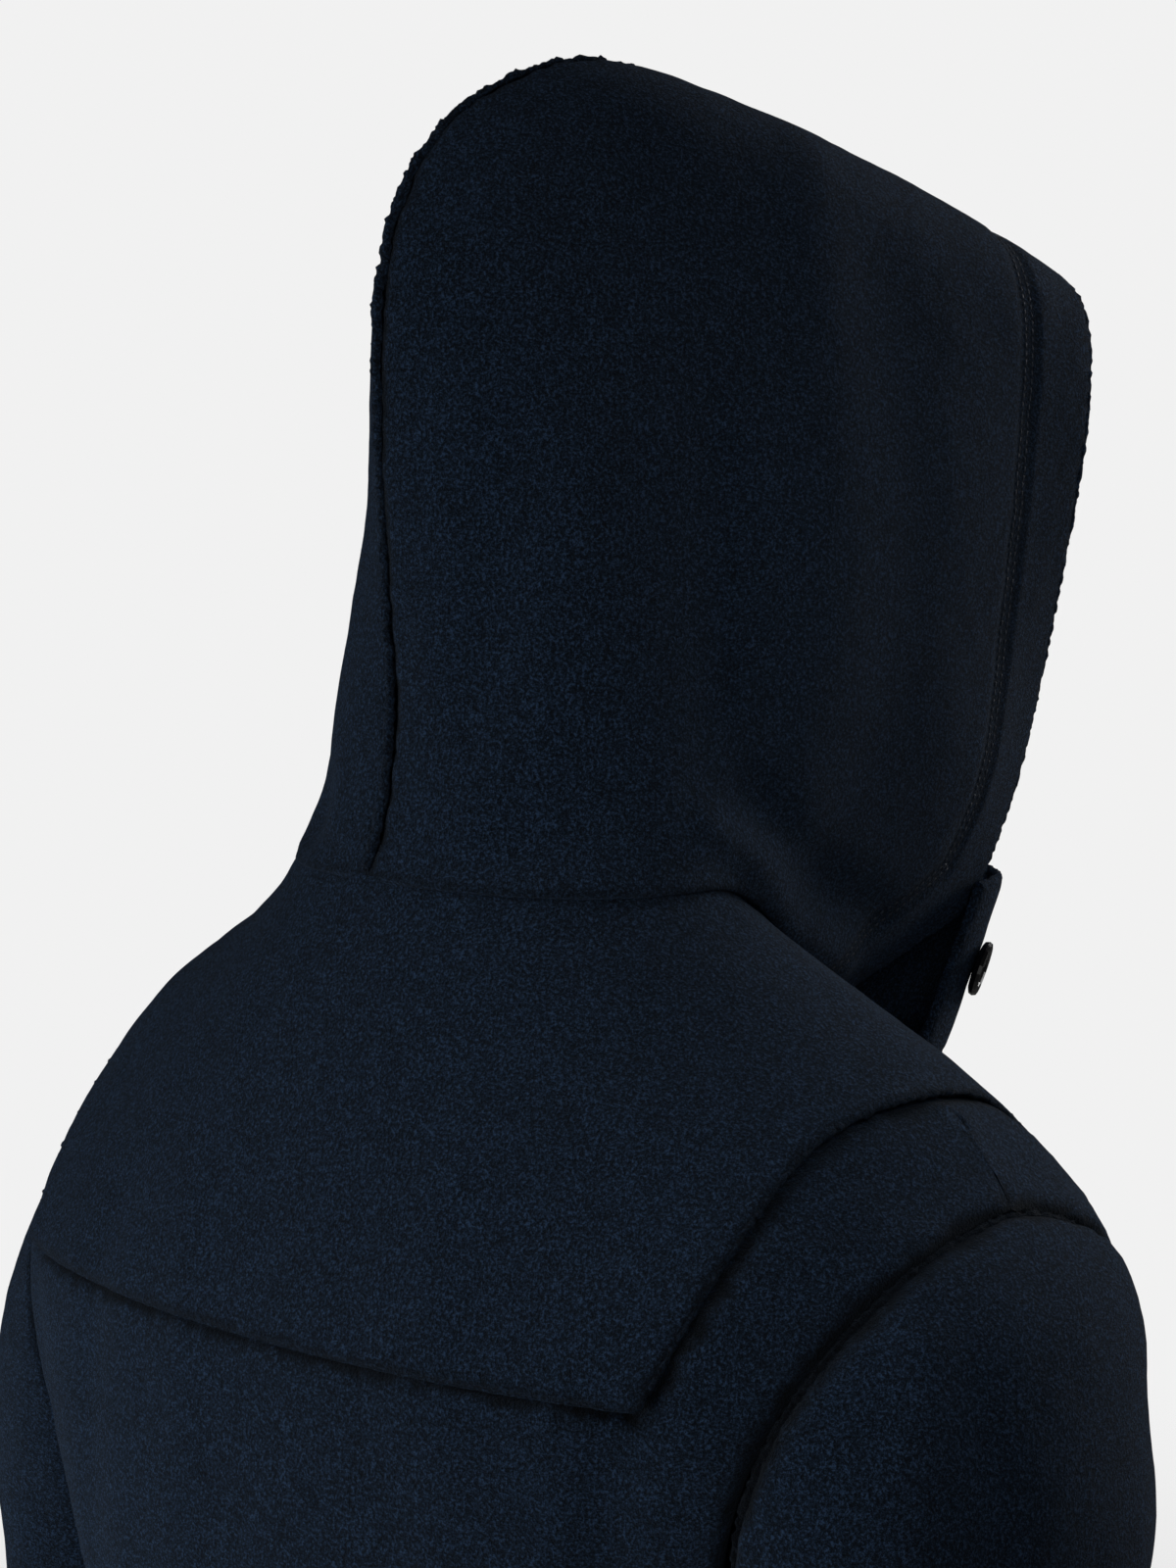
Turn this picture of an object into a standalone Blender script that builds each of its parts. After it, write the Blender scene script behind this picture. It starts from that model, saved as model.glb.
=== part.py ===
"""A duffle coat of thick boiled wool as it hangs on a wearer, with its hood up and turned to the right.

Metres, +Z up. The coat faces -Y and its left side is +X. The origin is at the nape, on the seam where
the hood meets the coat, which is where the wearer's neck and shoulders hold it up.
"""

import math
from collections import namedtuple

import bmesh
import bpy
from mathutils import Matrix, Vector

# Cloth and seams
WALL = 0.003
GAP = 0.0004
SEAM_TURN = 0.09  # degrees that a panel keeps back from a seam down the side

# The torso: one row for each section, from the neck seam to the hem. drop is the depth below the nape
# at the side of the section; back_drop and front_drop are the same at its middle back and middle front.
# lean is how far the section's sides come forward, as they do round the shoulders of a bent head.
Ring = namedtuple("Ring", "drop half_width back front back_drop front_drop squareness lean")
RINGS = (
    Ring(0.006, 0.092, 0.077, 0.120, 0.000, 0.088, 2.0, 0.000),
    Ring(0.024, 0.113, 0.094, 0.130, 0.029, 0.110, 2.0, 0.010),
    Ring(0.048, 0.147, 0.113, 0.138, 0.063, 0.134, 2.0, 0.020),
    Ring(0.074, 0.188, 0.128, 0.143, 0.095, 0.153, 2.1, 0.026),
    Ring(0.102, 0.220, 0.138, 0.147, 0.122, 0.168, 2.2, 0.028),
    Ring(0.135, 0.243, 0.148, 0.149, 0.148, 0.182, 2.3, 0.023),
    Ring(0.175, 0.250, 0.156, 0.150, 0.177, 0.202, 2.35, 0.014),
    Ring(0.230, 0.226, 0.161, 0.150, 0.231, 0.240, 2.45, 0.007),
    Ring(0.295, 0.190, 0.159, 0.149, 0.295, 0.297, 2.5, 0.000),
    Ring(0.345, 0.175, 0.155, 0.148, 0.345, 0.345, 2.5, 0.000),
    Ring(0.440, 0.174, 0.148, 0.147, 0.440, 0.440, 2.5, 0.000),
    Ring(0.620, 0.194, 0.146, 0.152, 0.620, 0.620, 2.4, 0.000),
    Ring(0.920, 0.228, 0.158, 0.164, 0.920, 0.920, 2.3, 0.000),
)
NECK_DROP = RINGS[0].drop
HEM_DROP = RINGS[-1].drop
SHOULDER_CURVE = 1.5  # how quickly a section's height passes from its side to its middle
LOWER_ROWS = 12
BACK_COLUMNS = 18
FRONT_COLUMNS = 10

# Soft folds that the cloth falls into below the yoke
Fold = namedtuple("Fold", "turn width depth start full")
BODY_FOLDS = (
    Fold(48, 9, -0.006, 0.19, 0.30),
    Fold(33, 10, 0.005, 0.20, 0.34),
    Fold(14, 9, -0.004, 0.22, 0.40),
    Fold(-12, 10, 0.005, 0.20, 0.36),
    Fold(-34, 8, -0.006, 0.19, 0.30),
    Fold(-50, 9, 0.006, 0.20, 0.34),
    Fold(72, 12, 0.007, 0.42, 0.80),
    Fold(104, 12, -0.006, 0.45, 0.85),
    Fold(-74, 12, 0.008, 0.42, 0.80),
    Fold(-100, 11, -0.007, 0.42, 0.82),
    Fold(128, 11, 0.006, 0.50, 0.86),
    Fold(-132, 12, 0.006, 0.52, 0.86),
    Fold(0, 14, -0.006, 0.50, 0.88),
    Fold(27, 9, 0.008, 0.55, 0.88),
    Fold(-28, 10, 0.007, 0.55, 0.88),
)

# The armholes, on the torso's sections: how far, in degrees, their edge stands off the side
ARMHOLE_TOP = 0.110
ARMHOLE_BOTTOM = 0.295
ARMHOLE_WIDEST = 0.60  # share of the way down
ARMHOLE_BACK_REACH = 27.5
ARMHOLE_FRONT_REACH = 30
ARMHOLE_BACK_ROUNDNESS = 2.15  # how squarely its upper part turns into its side
ARMHOLE_FRONT_ROUNDNESS = 1.70
ARMHOLE_FOOT_ROUNDNESS = 2.2
ARMHOLE_STEPS = 12

# The front opening: the left front laps over the right one
LAP_TURN = 17  # degrees past the middle front
LAP_RAMP = 6
LAP_TUCK = WALL + 0.0012
LAP_CLEAR = 4  # degrees before the left front's edge by which the right front is tucked under

# The yoke, a second layer over both shoulders
YOKE_HEM_DROP = 0.160
YOKE_HEM_DIP = 0.007  # how much lower its hem is at the corners
YOKE_FRONT_HEM_DROP = 0.196
YOKE_RIDGE_DROP = 0.075  # where its edge crosses the shoulder
YOKE_CORNER = 54  # degrees from the middle back, and the same from the middle front
YOKE_EDGE_POWER = 3.6
YOKE_LIFT = 0.0018
YOKE_RIDGE_LIFT = 0.0010
YOKE_FRONT_INSET = 2  # degrees by which it stops short of the right front's lap
YOKE_ROWS = 8
YOKE_BACK_STEPS = 6
YOKE_SIDE_STEPS = 8
YOKE_FRONT_STEPS = 3

# The sleeves: one row for each section below the armhole, for the left arm
Cuff = namedtuple("Cuff", "drop x y half_width half_depth")
SLEEVE = (
    Cuff(0.345, 0.229, 0.012, 0.047, 0.070),
    Cuff(0.440, 0.232, 0.012, 0.047, 0.068),
    Cuff(0.520, 0.246, 0.004, 0.047, 0.064),
    Cuff(0.600, 0.258, -0.016, 0.046, 0.059),
    Cuff(0.720, 0.272, -0.058, 0.044, 0.052),
)
SLEEVE_ROUND = 2 * ARMHOLE_STEPS
SLEEVE_CAP_ROWS = 6
SLEEVE_TUBE_ROWS = 9
SLEEVE_STAND_OFF = 0.0006
CAP_FULLNESS = 0.80  # how far the top of the sleeve swells outward
CAP_FOOT_FULLNESS = 0.15  # the same at the underarm
CAP_TOP_LIFT = 0.5  # how much less the top of the sleeve heads down as it leaves the armhole
CAP_REACH = 0.95
CAP_ARRIVAL = 1.3
SleeveFold = namedtuple("SleeveFold", "drop side width depth slant")
SLEEVE_FOLDS = (
    SleeveFold(0.470, 200, 0.016, -0.004, 0.20),
    SleeveFold(0.505, 230, 0.014, 0.004, -0.25),
    SleeveFold(0.535, 215, 0.015, -0.005, 0.15),
    SleeveFold(0.575, 240, 0.018, 0.004, -0.20),
    SleeveFold(0.640, 60, 0.020, -0.003, 0.30),
)

# The hood: one row for each rib, from the front edge round the crown to the nape. A rib starts on the
# neck seam at neck_turn and ends on the seam over the head, in the head's own middle plane.
Rib = namedtuple("Rib", "place neck_turn seam_y seam_z half_width squareness bow")
RIBS = (
    Rib(0.00, 152, -0.239, 0.231, 0.092, 5.0, -0.056),
    Rib(0.12, 141, -0.175, 0.265, 0.102, 3.4, -0.046),
    Rib(0.25, 128, -0.103, 0.293, 0.107, 2.6, -0.032),
    Rib(0.38, 114, -0.031, 0.311, 0.104, 1.95, -0.020),
    Rib(0.50, 98, 0.030, 0.293, 0.098, 1.48, -0.016),
    Rib(0.60, 83, 0.060, 0.251, 0.089, 1.22, -0.014),
    Rib(0.70, 66, 0.067, 0.192, 0.078, 1.10, -0.013),
    Rib(0.80, 48, 0.066, 0.127, 0.066, 1.12, -0.010),
    Rib(0.90, 27, 0.066, 0.061, 0.044, 1.3, -0.005),
    Rib(1.00, 0, 0.078, 0.000, 0.000, 1.6, 0.000),
)
HOOD_RIBS = 22
HOOD_RISES = 11
HOOD_SPREAD = 0.28  # share of a rib over which the cloth leaves the neck for its full width
NECK_LAP = 0.003
NECK_STAND_OFF = 0.0016  # the hood's own thickness, seen aslant, and a gap
BOW_POWER = 0.34  # how low a rib bows forward
HEAD_TURN = math.radians(9)
HEAD_TURN_FROM = 0.004
HEAD_TURN_FULL = 0.16
RIDGE_WIDTH = 0.005
RIDGE_HEIGHT = 0.0022
RIDGE_SIDE = 0.0008
RIDGE_FADES_FROM = 0.93  # the place from which it sinks into the neck seam
RIDGE_MOST = 0.5  # the largest share of a short rib that the ridge takes
RIDGE_SIDE_MOST = 0.1
SEAM_MITRE = 0.007  # from this far off, the wall turns to meet the other half squarely

# Buttons: radius and height of each turn of a dished disc's section, from its back to its front
Turn = namedtuple("Turn", "along radius")
BUTTON = (
    Turn(0.0000, 0.0000),
    Turn(0.0000, 0.0095),
    Turn(0.0008, 0.0114),
    Turn(0.0024, 0.0120),
    Turn(0.0038, 0.0114),
    Turn(0.0042, 0.0102),
    Turn(0.0036, 0.0088),
    Turn(0.0022, 0.0072),
    Turn(0.0020, 0.0000),
)
BUTTON_SIDES = 20
BUTTON_SEAT = 0.0004

# The throat tab: a strap across the throat. Its ends lie outside the hood's two front edges.
TAB_HEIGHT = 0.070
TAB_THICKNESS = 0.005
TAB_REST_RISE = 0.09  # where the hood's front edge touches it, as a share of the rib
TAB_ABOVE_REST = 0.006
TAB_OUT = 0.006  # how far its ends stand off the hood
TAB_END_BACK = 0.004  # how far it runs back past the hood's front edge
TAB_DEPTH = 0.046
TAB_FULLNESS = 0.80
TAB_LEAN = 0.40  # how far it goes back for each metre down
TAB_NARROWING = 0.13
TAB_COLUMNS = 20
TAB_ROWS = 3
TAB_BUTTON_AT = 70  # degrees from the middle front round the tab
HOOD_BUTTON_PLACE = 0.75
HOOD_BUTTON_RISE = 0.075
HOOD_BUTTON_SEAT = 0.0012

# The front's toggles: each lies across the opening, held by a cord from either side's patch
TOGGLE_DROPS = (0.245, 0.405, 0.565)
TOGGLE = (
    Turn(-0.0260, 0.0000),
    Turn(-0.0255, 0.0026),
    Turn(-0.0236, 0.0040),
    Turn(-0.0150, 0.0056),
    Turn(-0.0040, 0.0064),
    Turn(-0.0026, 0.0050),
    Turn(0.0014, 0.0050),
    Turn(0.0028, 0.0064),
    Turn(0.0150, 0.0056),
    Turn(0.0236, 0.0040),
    Turn(0.0255, 0.0026),
    Turn(0.0260, 0.0000),
)
TOGGLE_SIDES = 12
TOGGLE_WAIST = 0.0050
CORD_RADIUS = 0.0018
CORD_SIDES = 6
CORD_LIFT = CORD_RADIUS + 0.0004
CORD_CLEAR = 0.0012  # between a cord's surface and what it passes round
CORD_END = 0.0004  # by which a cord's end runs under its patch's edge
CATCH_STEPS = 5
CATCH_BEND_STEPS = 8
CATCH_SPREAD = 0.0105  # half the distance between the strands of the loop that catches the toggle
HOLD_SPREAD = 0.0046  # the same for the cord that holds the toggle
HOLD_AT = -0.0006
HOLD_STEPS = 4
HOLD_SHORT = 0.003  # by which its straight strands stop short of the toggle's middle
HOLD_CLEAR = 0.0003
HOLD_BEND_FROM = -38  # degrees round the toggle, from straight up towards the outside
HOLD_BEND = 256
HOLD_BEND_STEPS = 10
PATCH_NEAR = 0.052
PATCH_FAR = 0.092
PATCH_HEIGHT = 0.034
PATCH_THICKNESS = 0.0022
PATCH_LIFT = 0.0004
PATCH_COLUMNS = 6
PATCH_TAPER = 0.45  # how much of its height it loses at its far end

# Colours, linear
WOOL = (0.010, 0.017, 0.028, 1.0)
BUTTON_BLACK = (0.004, 0.004, 0.005, 1.0)
TOGGLE_BROWN = (0.030, 0.016, 0.009, 1.0)
LEATHER = (0.008, 0.008, 0.010, 1.0)
CORD = (0.006, 0.008, 0.012, 1.0)


def clear_scene():
    for obj in list(bpy.data.objects):
        bpy.data.objects.remove(obj, do_unlink=True)


def make_material(name, colour, roughness):
    material = bpy.data.materials.new(name)
    material.use_nodes = True
    shader = material.node_tree.nodes["Principled BSDF"]
    shader.inputs["Base Color"].default_value = colour
    shader.inputs["Roughness"].default_value = roughness
    shader.inputs["Metallic"].default_value = 0.0
    return material


def smooth_step(value, low, high):
    share = min(max((value - low) / (high - low), 0.0), 1.0)
    return share * share * (3 - 2 * share)


def read_row(rows, at):
    """The row of a table at a place between its rows, on a smooth curve through each named column."""
    at = min(max(at, rows[0][0]), rows[-1][0])
    index = next(i for i in range(len(rows) - 1) if at <= rows[i + 1][0])
    span = rows[index + 1][0] - rows[index][0]
    t = (at - rows[index][0]) / span

    def slope(i, column):
        before, after = rows[max(i - 1, 0)], rows[min(i + 1, len(rows) - 1)]
        return (after[column] - before[column]) / (after[0] - before[0]) * span

    values = []
    for column in range(1, len(rows[0])):
        start, end = rows[index][column], rows[index + 1][column]
        values.append(
            (2 * t**3 - 3 * t**2 + 1) * start
            + (t**3 - 2 * t**2 + t) * slope(index, column)
            + (3 * t**2 - 2 * t**3) * end
            + (t**3 - t**2) * slope(index + 1, column)
        )
    return type(rows[0])(at, *values)


def body_fold(drop, turn):
    depth = 0.0
    for fold in BODY_FOLDS:
        off = (turn - fold.turn + 180) % 360 - 180
        depth += fold.depth * math.exp(-((off / fold.width) ** 2)) * smooth_step(drop, fold.start, fold.full)
    return depth


def body_point(drop, turn):
    """A point on the coat's outer cloth. turn is in degrees, from the middle back round the left side."""
    ring = read_row(RINGS, drop)
    to_side, to_back = math.sin(math.radians(turn)), math.cos(math.radians(turn))
    depth = ring.back if to_back > 0 else ring.front
    middle_drop = ring.back_drop if to_back > 0 else ring.front_drop
    power = ring.squareness
    reach = ((abs(to_side) / ring.half_width) ** power + (abs(to_back) / depth) ** power) ** (-1 / power)
    reach += body_fold(drop, turn)
    height = drop + (middle_drop - drop) * abs(to_back) ** SHOULDER_CURVE
    return Vector((reach * to_side, reach * to_back - ring.lean * abs(to_side) ** 3, -height))


def body_normal(drop, turn):
    step, angle = 0.001, 0.3
    low, high = max(drop - step, NECK_DROP), min(drop + step, HEM_DROP)
    down = body_point(high, turn) - body_point(low, turn)
    around = body_point(drop, turn + angle) - body_point(drop, turn - angle)
    return around.cross(down).normalized()


def armhole_reach(drop, at_back):
    """Degrees by which the armhole's edge stands off the side of the torso at this drop."""
    share = (drop - ARMHOLE_TOP) / (ARMHOLE_BOTTOM - ARMHOLE_TOP)
    if share <= 0 or share >= 1:
        return 0.0
    widest_reach = ARMHOLE_BACK_REACH if at_back else ARMHOLE_FRONT_REACH
    if share < ARMHOLE_WIDEST:
        roundness = ARMHOLE_BACK_ROUNDNESS if at_back else ARMHOLE_FRONT_ROUNDNESS
        off_widest = 1 - share / ARMHOLE_WIDEST
    else:
        roundness = ARMHOLE_FOOT_ROUNDNESS
        off_widest = (share - ARMHOLE_WIDEST) / (1 - ARMHOLE_WIDEST)
    return widest_reach * (1 - off_widest**roundness) ** (1 / roundness)


def armhole_drops():
    """Drops down the armhole, closest together at its top and bottom, where its edge turns."""
    for step in range(ARMHOLE_STEPS + 1):
        share = (1 - math.cos(math.pi * step / ARMHOLE_STEPS)) / 2
        yield ARMHOLE_TOP + (ARMHOLE_BOTTOM - ARMHOLE_TOP) * share


def body_drops():
    top = NECK_DROP + 0.004
    above = [top + (ARMHOLE_TOP - top) * i / 5 for i in range(5)]
    below = [ARMHOLE_BOTTOM + (HEM_DROP - ARMHOLE_BOTTOM) * i / LOWER_ROWS for i in range(1, LOWER_ROWS + 1)]
    return above + list(armhole_drops()) + below


def cloth_wall(name, points, inward, material, wrapped=False, pointed=False):
    """A closed wall of cloth. Its outer face runs through the rows of points, and its inner face lies at
    the inward vectors from them. A wrapped wall's last column is its first; a pointed one's last row is
    one point."""
    rows, columns = len(points), len(points[0])
    bm = bmesh.new()
    grid = [[bm.verts.new(point) for point in row] for row in points]
    offset = {}
    for row, vectors in zip(grid, inward):
        offset.update(zip(row, vectors))
    if pointed:
        for vert in grid[-1][1:]:
            bm.verts.remove(vert)
        grid[-1] = [grid[-1][0]] * columns
    around = columns if wrapped else columns - 1
    for i in range(rows - 1):
        for j in range(around):
            k = (j + 1) % columns
            corners = (grid[i][j], grid[i][k], grid[i + 1][k], grid[i + 1][j])
            bm.faces.new(list(dict.fromkeys(corners)))
    rim = [edge for edge in bm.edges if edge.is_boundary]
    outer = bm.verts[:]
    twin = bmesh.ops.duplicate(bm, geom=bm.verts[:] + bm.edges[:] + bm.faces[:])["vert_map"]
    for vert in outer:
        twin[vert].co = vert.co + offset[vert]
    for edge in rim:
        first, second = edge.verts
        bm.faces.new((first, second, twin[second], twin[first]))
    bmesh.ops.recalc_face_normals(bm, faces=bm.faces)
    bmesh.ops.triangulate(bm, faces=bm.faces, quad_method="SHORT_EDGE")
    return finished(name, bm, material)


def finished(name, bm, material):
    mesh = bpy.data.meshes.new(name)
    bm.to_mesh(mesh)
    bm.free()
    mesh.materials.append(material)
    mesh.shade_smooth()
    mesh.set_sharp_from_angle(angle=math.radians(40))
    obj = bpy.data.objects.new(name, mesh)
    bpy.context.collection.objects.link(obj)
    return obj


def grid_normals(points, wrapped=False):
    """Outward normals of rows of points whose rows run down and whose columns run to the left."""
    rows, columns = len(points), len(points[0])
    normals = []
    for i in range(rows):
        normals.append([])
        for j in range(columns):
            if wrapped:
                left, right = (j + 1) % columns, (j - 1) % columns
            else:
                left, right = min(j + 1, columns - 1), max(j - 1, 0)
            around = points[i][left] - points[i][right]
            down = points[min(i + 1, rows - 1)][j] - points[max(i - 1, 0)][j]
            normals[i].append(around.cross(down).normalized())
    return normals


def make_back(material):
    points, inward = [], []
    for drop in body_drops():
        edge = 90 - SEAM_TURN - armhole_reach(drop, True)
        turns = [edge * (2 * j / BACK_COLUMNS - 1) for j in range(BACK_COLUMNS + 1)]
        points.append([body_point(drop, turn) for turn in turns])
        inward.append([-WALL * body_normal(drop, turn) for turn in turns])
    return cloth_wall("back", points, inward, material)


def make_front(side, material):
    """side is 1 for the left front, which laps over the other, and -1 for the right one."""
    points, inward = [], []
    for drop in body_drops():
        start = 90 + SEAM_TURN + armhole_reach(drop, False)
        end = 180 + LAP_TURN
        tucked = 180 - LAP_TURN - LAP_CLEAR
        row, vectors = [], []
        for j in range(FRONT_COLUMNS + 1):
            turn = start + (end - start) * j / FRONT_COLUMNS
            normal = body_normal(drop, side * turn)
            tuck = 0.0
            if side < 0:
                tuck = LAP_TUCK * smooth_step(turn, tucked - LAP_RAMP, tucked)
            row.append(body_point(drop, side * turn) - tuck * normal)
            vectors.append(-WALL * normal)
        points.append(row)
        inward.append(vectors)
    return cloth_wall("front_left" if side > 0 else "front_right", points, inward, material)


def yoke_lift(turn):
    return YOKE_LIFT + YOKE_RIDGE_LIFT * abs(math.sin(math.radians(turn))) ** 6


def yoke_edge_drop(turn):
    """Where the yoke ends below the neck: a level hem at back and front, joined over the shoulder."""
    off_side = abs(abs(turn) - 90)
    share = min(off_side / (90 - YOKE_CORNER), 1.0)
    dip = YOKE_HEM_DIP * min((90 - off_side) / YOKE_CORNER, 1.0) ** 2
    hem = YOKE_HEM_DROP + dip if abs(turn) < 90 else YOKE_FRONT_HEM_DROP
    return YOKE_RIDGE_DROP + (hem - YOKE_RIDGE_DROP) * share**YOKE_EDGE_POWER


def yoke_turns():
    """Turns across the yoke, with one at each corner and closer ones over the shoulders."""
    front_corner = 180 - YOKE_CORNER
    front_end = 180 - LAP_TURN - YOKE_FRONT_INSET
    side = []
    side += [YOKE_CORNER * i / YOKE_BACK_STEPS for i in range(1, YOKE_BACK_STEPS)]
    shoulder_step = (front_corner - YOKE_CORNER) / (2 * YOKE_SIDE_STEPS)
    side += [YOKE_CORNER + shoulder_step * i for i in range(2 * YOKE_SIDE_STEPS)]
    front_step = (front_end - front_corner) / YOKE_FRONT_STEPS
    side += [front_corner + front_step * i for i in range(YOKE_FRONT_STEPS + 1)]
    return [-turn for turn in reversed(side)] + [0.0] + side


def make_yoke(material):
    points, inward = [], []
    turns = yoke_turns()
    for i in range(YOKE_ROWS + 1):
        row, vectors = [], []
        for turn in turns:
            drop = NECK_DROP + (yoke_edge_drop(turn) - NECK_DROP) * i / YOKE_ROWS
            normal = body_normal(drop, turn)
            row.append(body_point(drop, turn) + (yoke_lift(turn) + WALL) * normal)
            vectors.append(-WALL * normal)
        points.append(row)
        inward.append(vectors)
    return cloth_wall("yoke", points, inward, material)


def sleeve_fold(drop, side_angle):
    depth = 0.0
    for fold in SLEEVE_FOLDS:
        off_side = (side_angle - fold.side + 180) % 360 - 180
        off_drop = drop - fold.drop - fold.slant * math.radians(off_side) * 0.1
        depth += fold.depth * math.exp(-((off_drop / fold.width) ** 2)) * math.exp(-((off_side / 75) ** 2))
    return depth


def armhole_ring(side):
    """(point, body normal) round the armhole, from its top down the back and up the front."""
    drops = list(armhole_drops())
    half = ARMHOLE_STEPS
    ring = []
    for k in range(SLEEVE_ROUND):
        step = k if k <= half else SLEEVE_ROUND - k
        share = (1 - math.cos(math.pi * step / half)) / 2
        drop = drops[0] + (drops[-1] - drops[0]) * share
        if k <= half:
            turn = 90 - armhole_reach(drop, True)
        else:
            turn = 90 + armhole_reach(drop, False)
        ring.append((body_point(drop, side * turn), body_normal(drop, side * turn)))
    return ring


def sleeve_section(drop, side):
    section = read_row(SLEEVE, drop)
    ring = []
    for k in range(SLEEVE_ROUND):
        angle = 2 * math.pi * k / SLEEVE_ROUND
        fold = sleeve_fold(drop, math.degrees(angle))
        x = section.x + (section.half_width + fold) * math.cos(angle)
        y = section.y + (section.half_depth + fold) * math.sin(angle)
        ring.append(Vector((side * x, y, -section.drop)))
    return ring


def make_sleeve(side, material):
    start = armhole_ring(side)
    middle = sum((point for point, _ in start), Vector()) / SLEEVE_ROUND
    first, second = sleeve_section(SLEEVE[0].drop, side), sleeve_section(SLEEVE[0].drop + 0.01, side)
    outward, down = Vector((side, 0, 0)), Vector((0, 0, -1))
    rows = []
    for i in range(SLEEVE_CAP_ROWS):
        t = i / SLEEVE_CAP_ROWS
        row = []
        for k, (edge, normal) in enumerate(start):
            into_hole = (middle - edge).normalized()
            begin = edge + SLEEVE_STAND_OFF * (into_hole + normal)
            end = first[k]
            reach = (end - begin).length
            top_share = (1 + math.cos(2 * math.pi * k / SLEEVE_ROUND)) / 2
            swell = CAP_FOOT_FULLNESS + CAP_FULLNESS * top_share
            leave = (outward * swell + down * (1 - CAP_TOP_LIFT * top_share)).normalized()
            arrive = (second[k] - first[k]).normalized()
            row.append(
                (2 * t**3 - 3 * t**2 + 1) * begin
                + (t**3 - 2 * t**2 + t) * reach * CAP_REACH * leave
                + (3 * t**2 - 2 * t**3) * end
                + (t**3 - t**2) * reach * CAP_ARRIVAL * arrive
            )
        rows.append(row)
    for i in range(SLEEVE_TUBE_ROWS + 1):
        drop = SLEEVE[0].drop + (SLEEVE[-1].drop - SLEEVE[0].drop) * i / SLEEVE_TUBE_ROWS
        rows.append(sleeve_section(drop, side))
    normals = grid_normals(rows, wrapped=True)
    inward = [[side * WALL * normal for normal in row] for row in normals]
    for k, (edge, normal) in enumerate(start):
        top_share = (1 + math.cos(2 * math.pi * k / SLEEVE_ROUND)) / 2
        own = inward[0][k].normalized()
        inward[0][k] = WALL * (own * (1 - top_share) - normal * top_share).normalized()
    return cloth_wall("sleeve_left" if side > 0 else "sleeve_right", rows, inward, material, wrapped=True)


def neck_point(turn):
    """Where the hood leaves the coat: lapped over the yoke's neck edge."""
    drop = NECK_DROP + NECK_LAP
    return body_point(drop, turn) + (yoke_lift(turn) + WALL + NECK_STAND_OFF) * body_normal(drop, turn)


def hood_point(place, rise, side):
    """A point of the hood's cloth before the head is turned. rise runs from the neck to the seam on top."""
    rib = read_row(RIBS, place)
    foot = neck_point(rib.neck_turn)
    share = math.sin(rise * math.pi / 2)
    spread = min(share / HOOD_SPREAD, 1.0)
    base = abs(foot.x)
    width = base + (max(rib.half_width, base) - base) * (1 - (1 - spread) ** 2)
    x = width * max(1 - share**rib.squareness, 0.0) ** (1 / rib.squareness)
    y = foot.y + (rib.seam_y - foot.y) * share + rib.bow * math.sin(math.pi * share**BOW_POWER)
    z = foot.z + (rib.seam_z - foot.z) * share
    return Vector((side * (x + GAP / 2), y, z))


def with_head(point):
    share = smooth_step(point.z, HEAD_TURN_FROM, HEAD_TURN_FULL)
    return Matrix.Rotation(-HEAD_TURN * share, 3, "Z") @ point


def make_hood(side, material):
    """side is 1 for the left half, whose raw edge stands up along the seam, and -1 for the right one."""
    points, inward = [], []
    for i in range(HOOD_RIBS + 1):
        place = i / HOOD_RIBS
        rib = read_row(RIBS, place)
        rib_length = max(rib.half_width, 0.001) * math.pi / 2
        ridge = min(RIDGE_WIDTH / rib_length, RIDGE_MOST)
        ridge_side = min(RIDGE_SIDE / rib_length, RIDGE_SIDE_MOST)
        rises = [(1 - ridge - ridge_side) * j / HOOD_RISES for j in range(HOOD_RISES + 1)] + [1 - ridge, 1.0]
        points.append([hood_point(place, rise, side) for rise in rises])
    normals = grid_normals(points)
    for i, row in enumerate(points):
        place = i / HOOD_RIBS
        height = RIDGE_HEIGHT * (1 - smooth_step(place, RIDGE_FADES_FROM, 1.0)) if side > 0 else 0.0
        vectors = []
        for j, point in enumerate(row):
            normal = normals[i][j] * side
            normal.x *= min((abs(point.x) - GAP / 2) / SEAM_MITRE, 1.0)
            normal.normalize()
            raised = point + normal * (height if j >= len(row) - 2 else 0.0)
            inner = with_head(point - WALL * normal)
            row[j] = with_head(raised)
            vectors.append(inner - row[j])
        inward.append(vectors)
    name = "hood_left" if side > 0 else "hood_right"
    return cloth_wall(name, points, inward, material, pointed=True)


def lathe(name, section, sides, place, material):
    """A closed body turned about X from a section, then moved by the matrix place."""
    bm = bmesh.new()
    line = [bm.verts.new((turn.along, turn.radius, 0)) for turn in section]
    edges = [bm.edges.new(pair) for pair in zip(line, line[1:])]
    bmesh.ops.spin(
        bm, geom=line + edges, cent=(0, 0, 0), axis=(1, 0, 0), angle=2 * math.pi, steps=sides, use_merge=True
    )
    bmesh.ops.remove_doubles(bm, verts=bm.verts, dist=0.00002)
    bmesh.ops.recalc_face_normals(bm, faces=bm.faces)
    bmesh.ops.triangulate(bm, faces=bm.faces)
    bmesh.ops.transform(bm, matrix=place, verts=bm.verts)
    return finished(name, bm, material)


def standing_on(point, normal, near):
    """A matrix that puts X along a surface's normal at a point, with Z as near as it can be to a direction."""
    across = near.cross(normal).normalized()
    up = normal.cross(across)
    place = Matrix((normal, across, up)).transposed().to_4x4()
    place.translation = point
    return place


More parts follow.
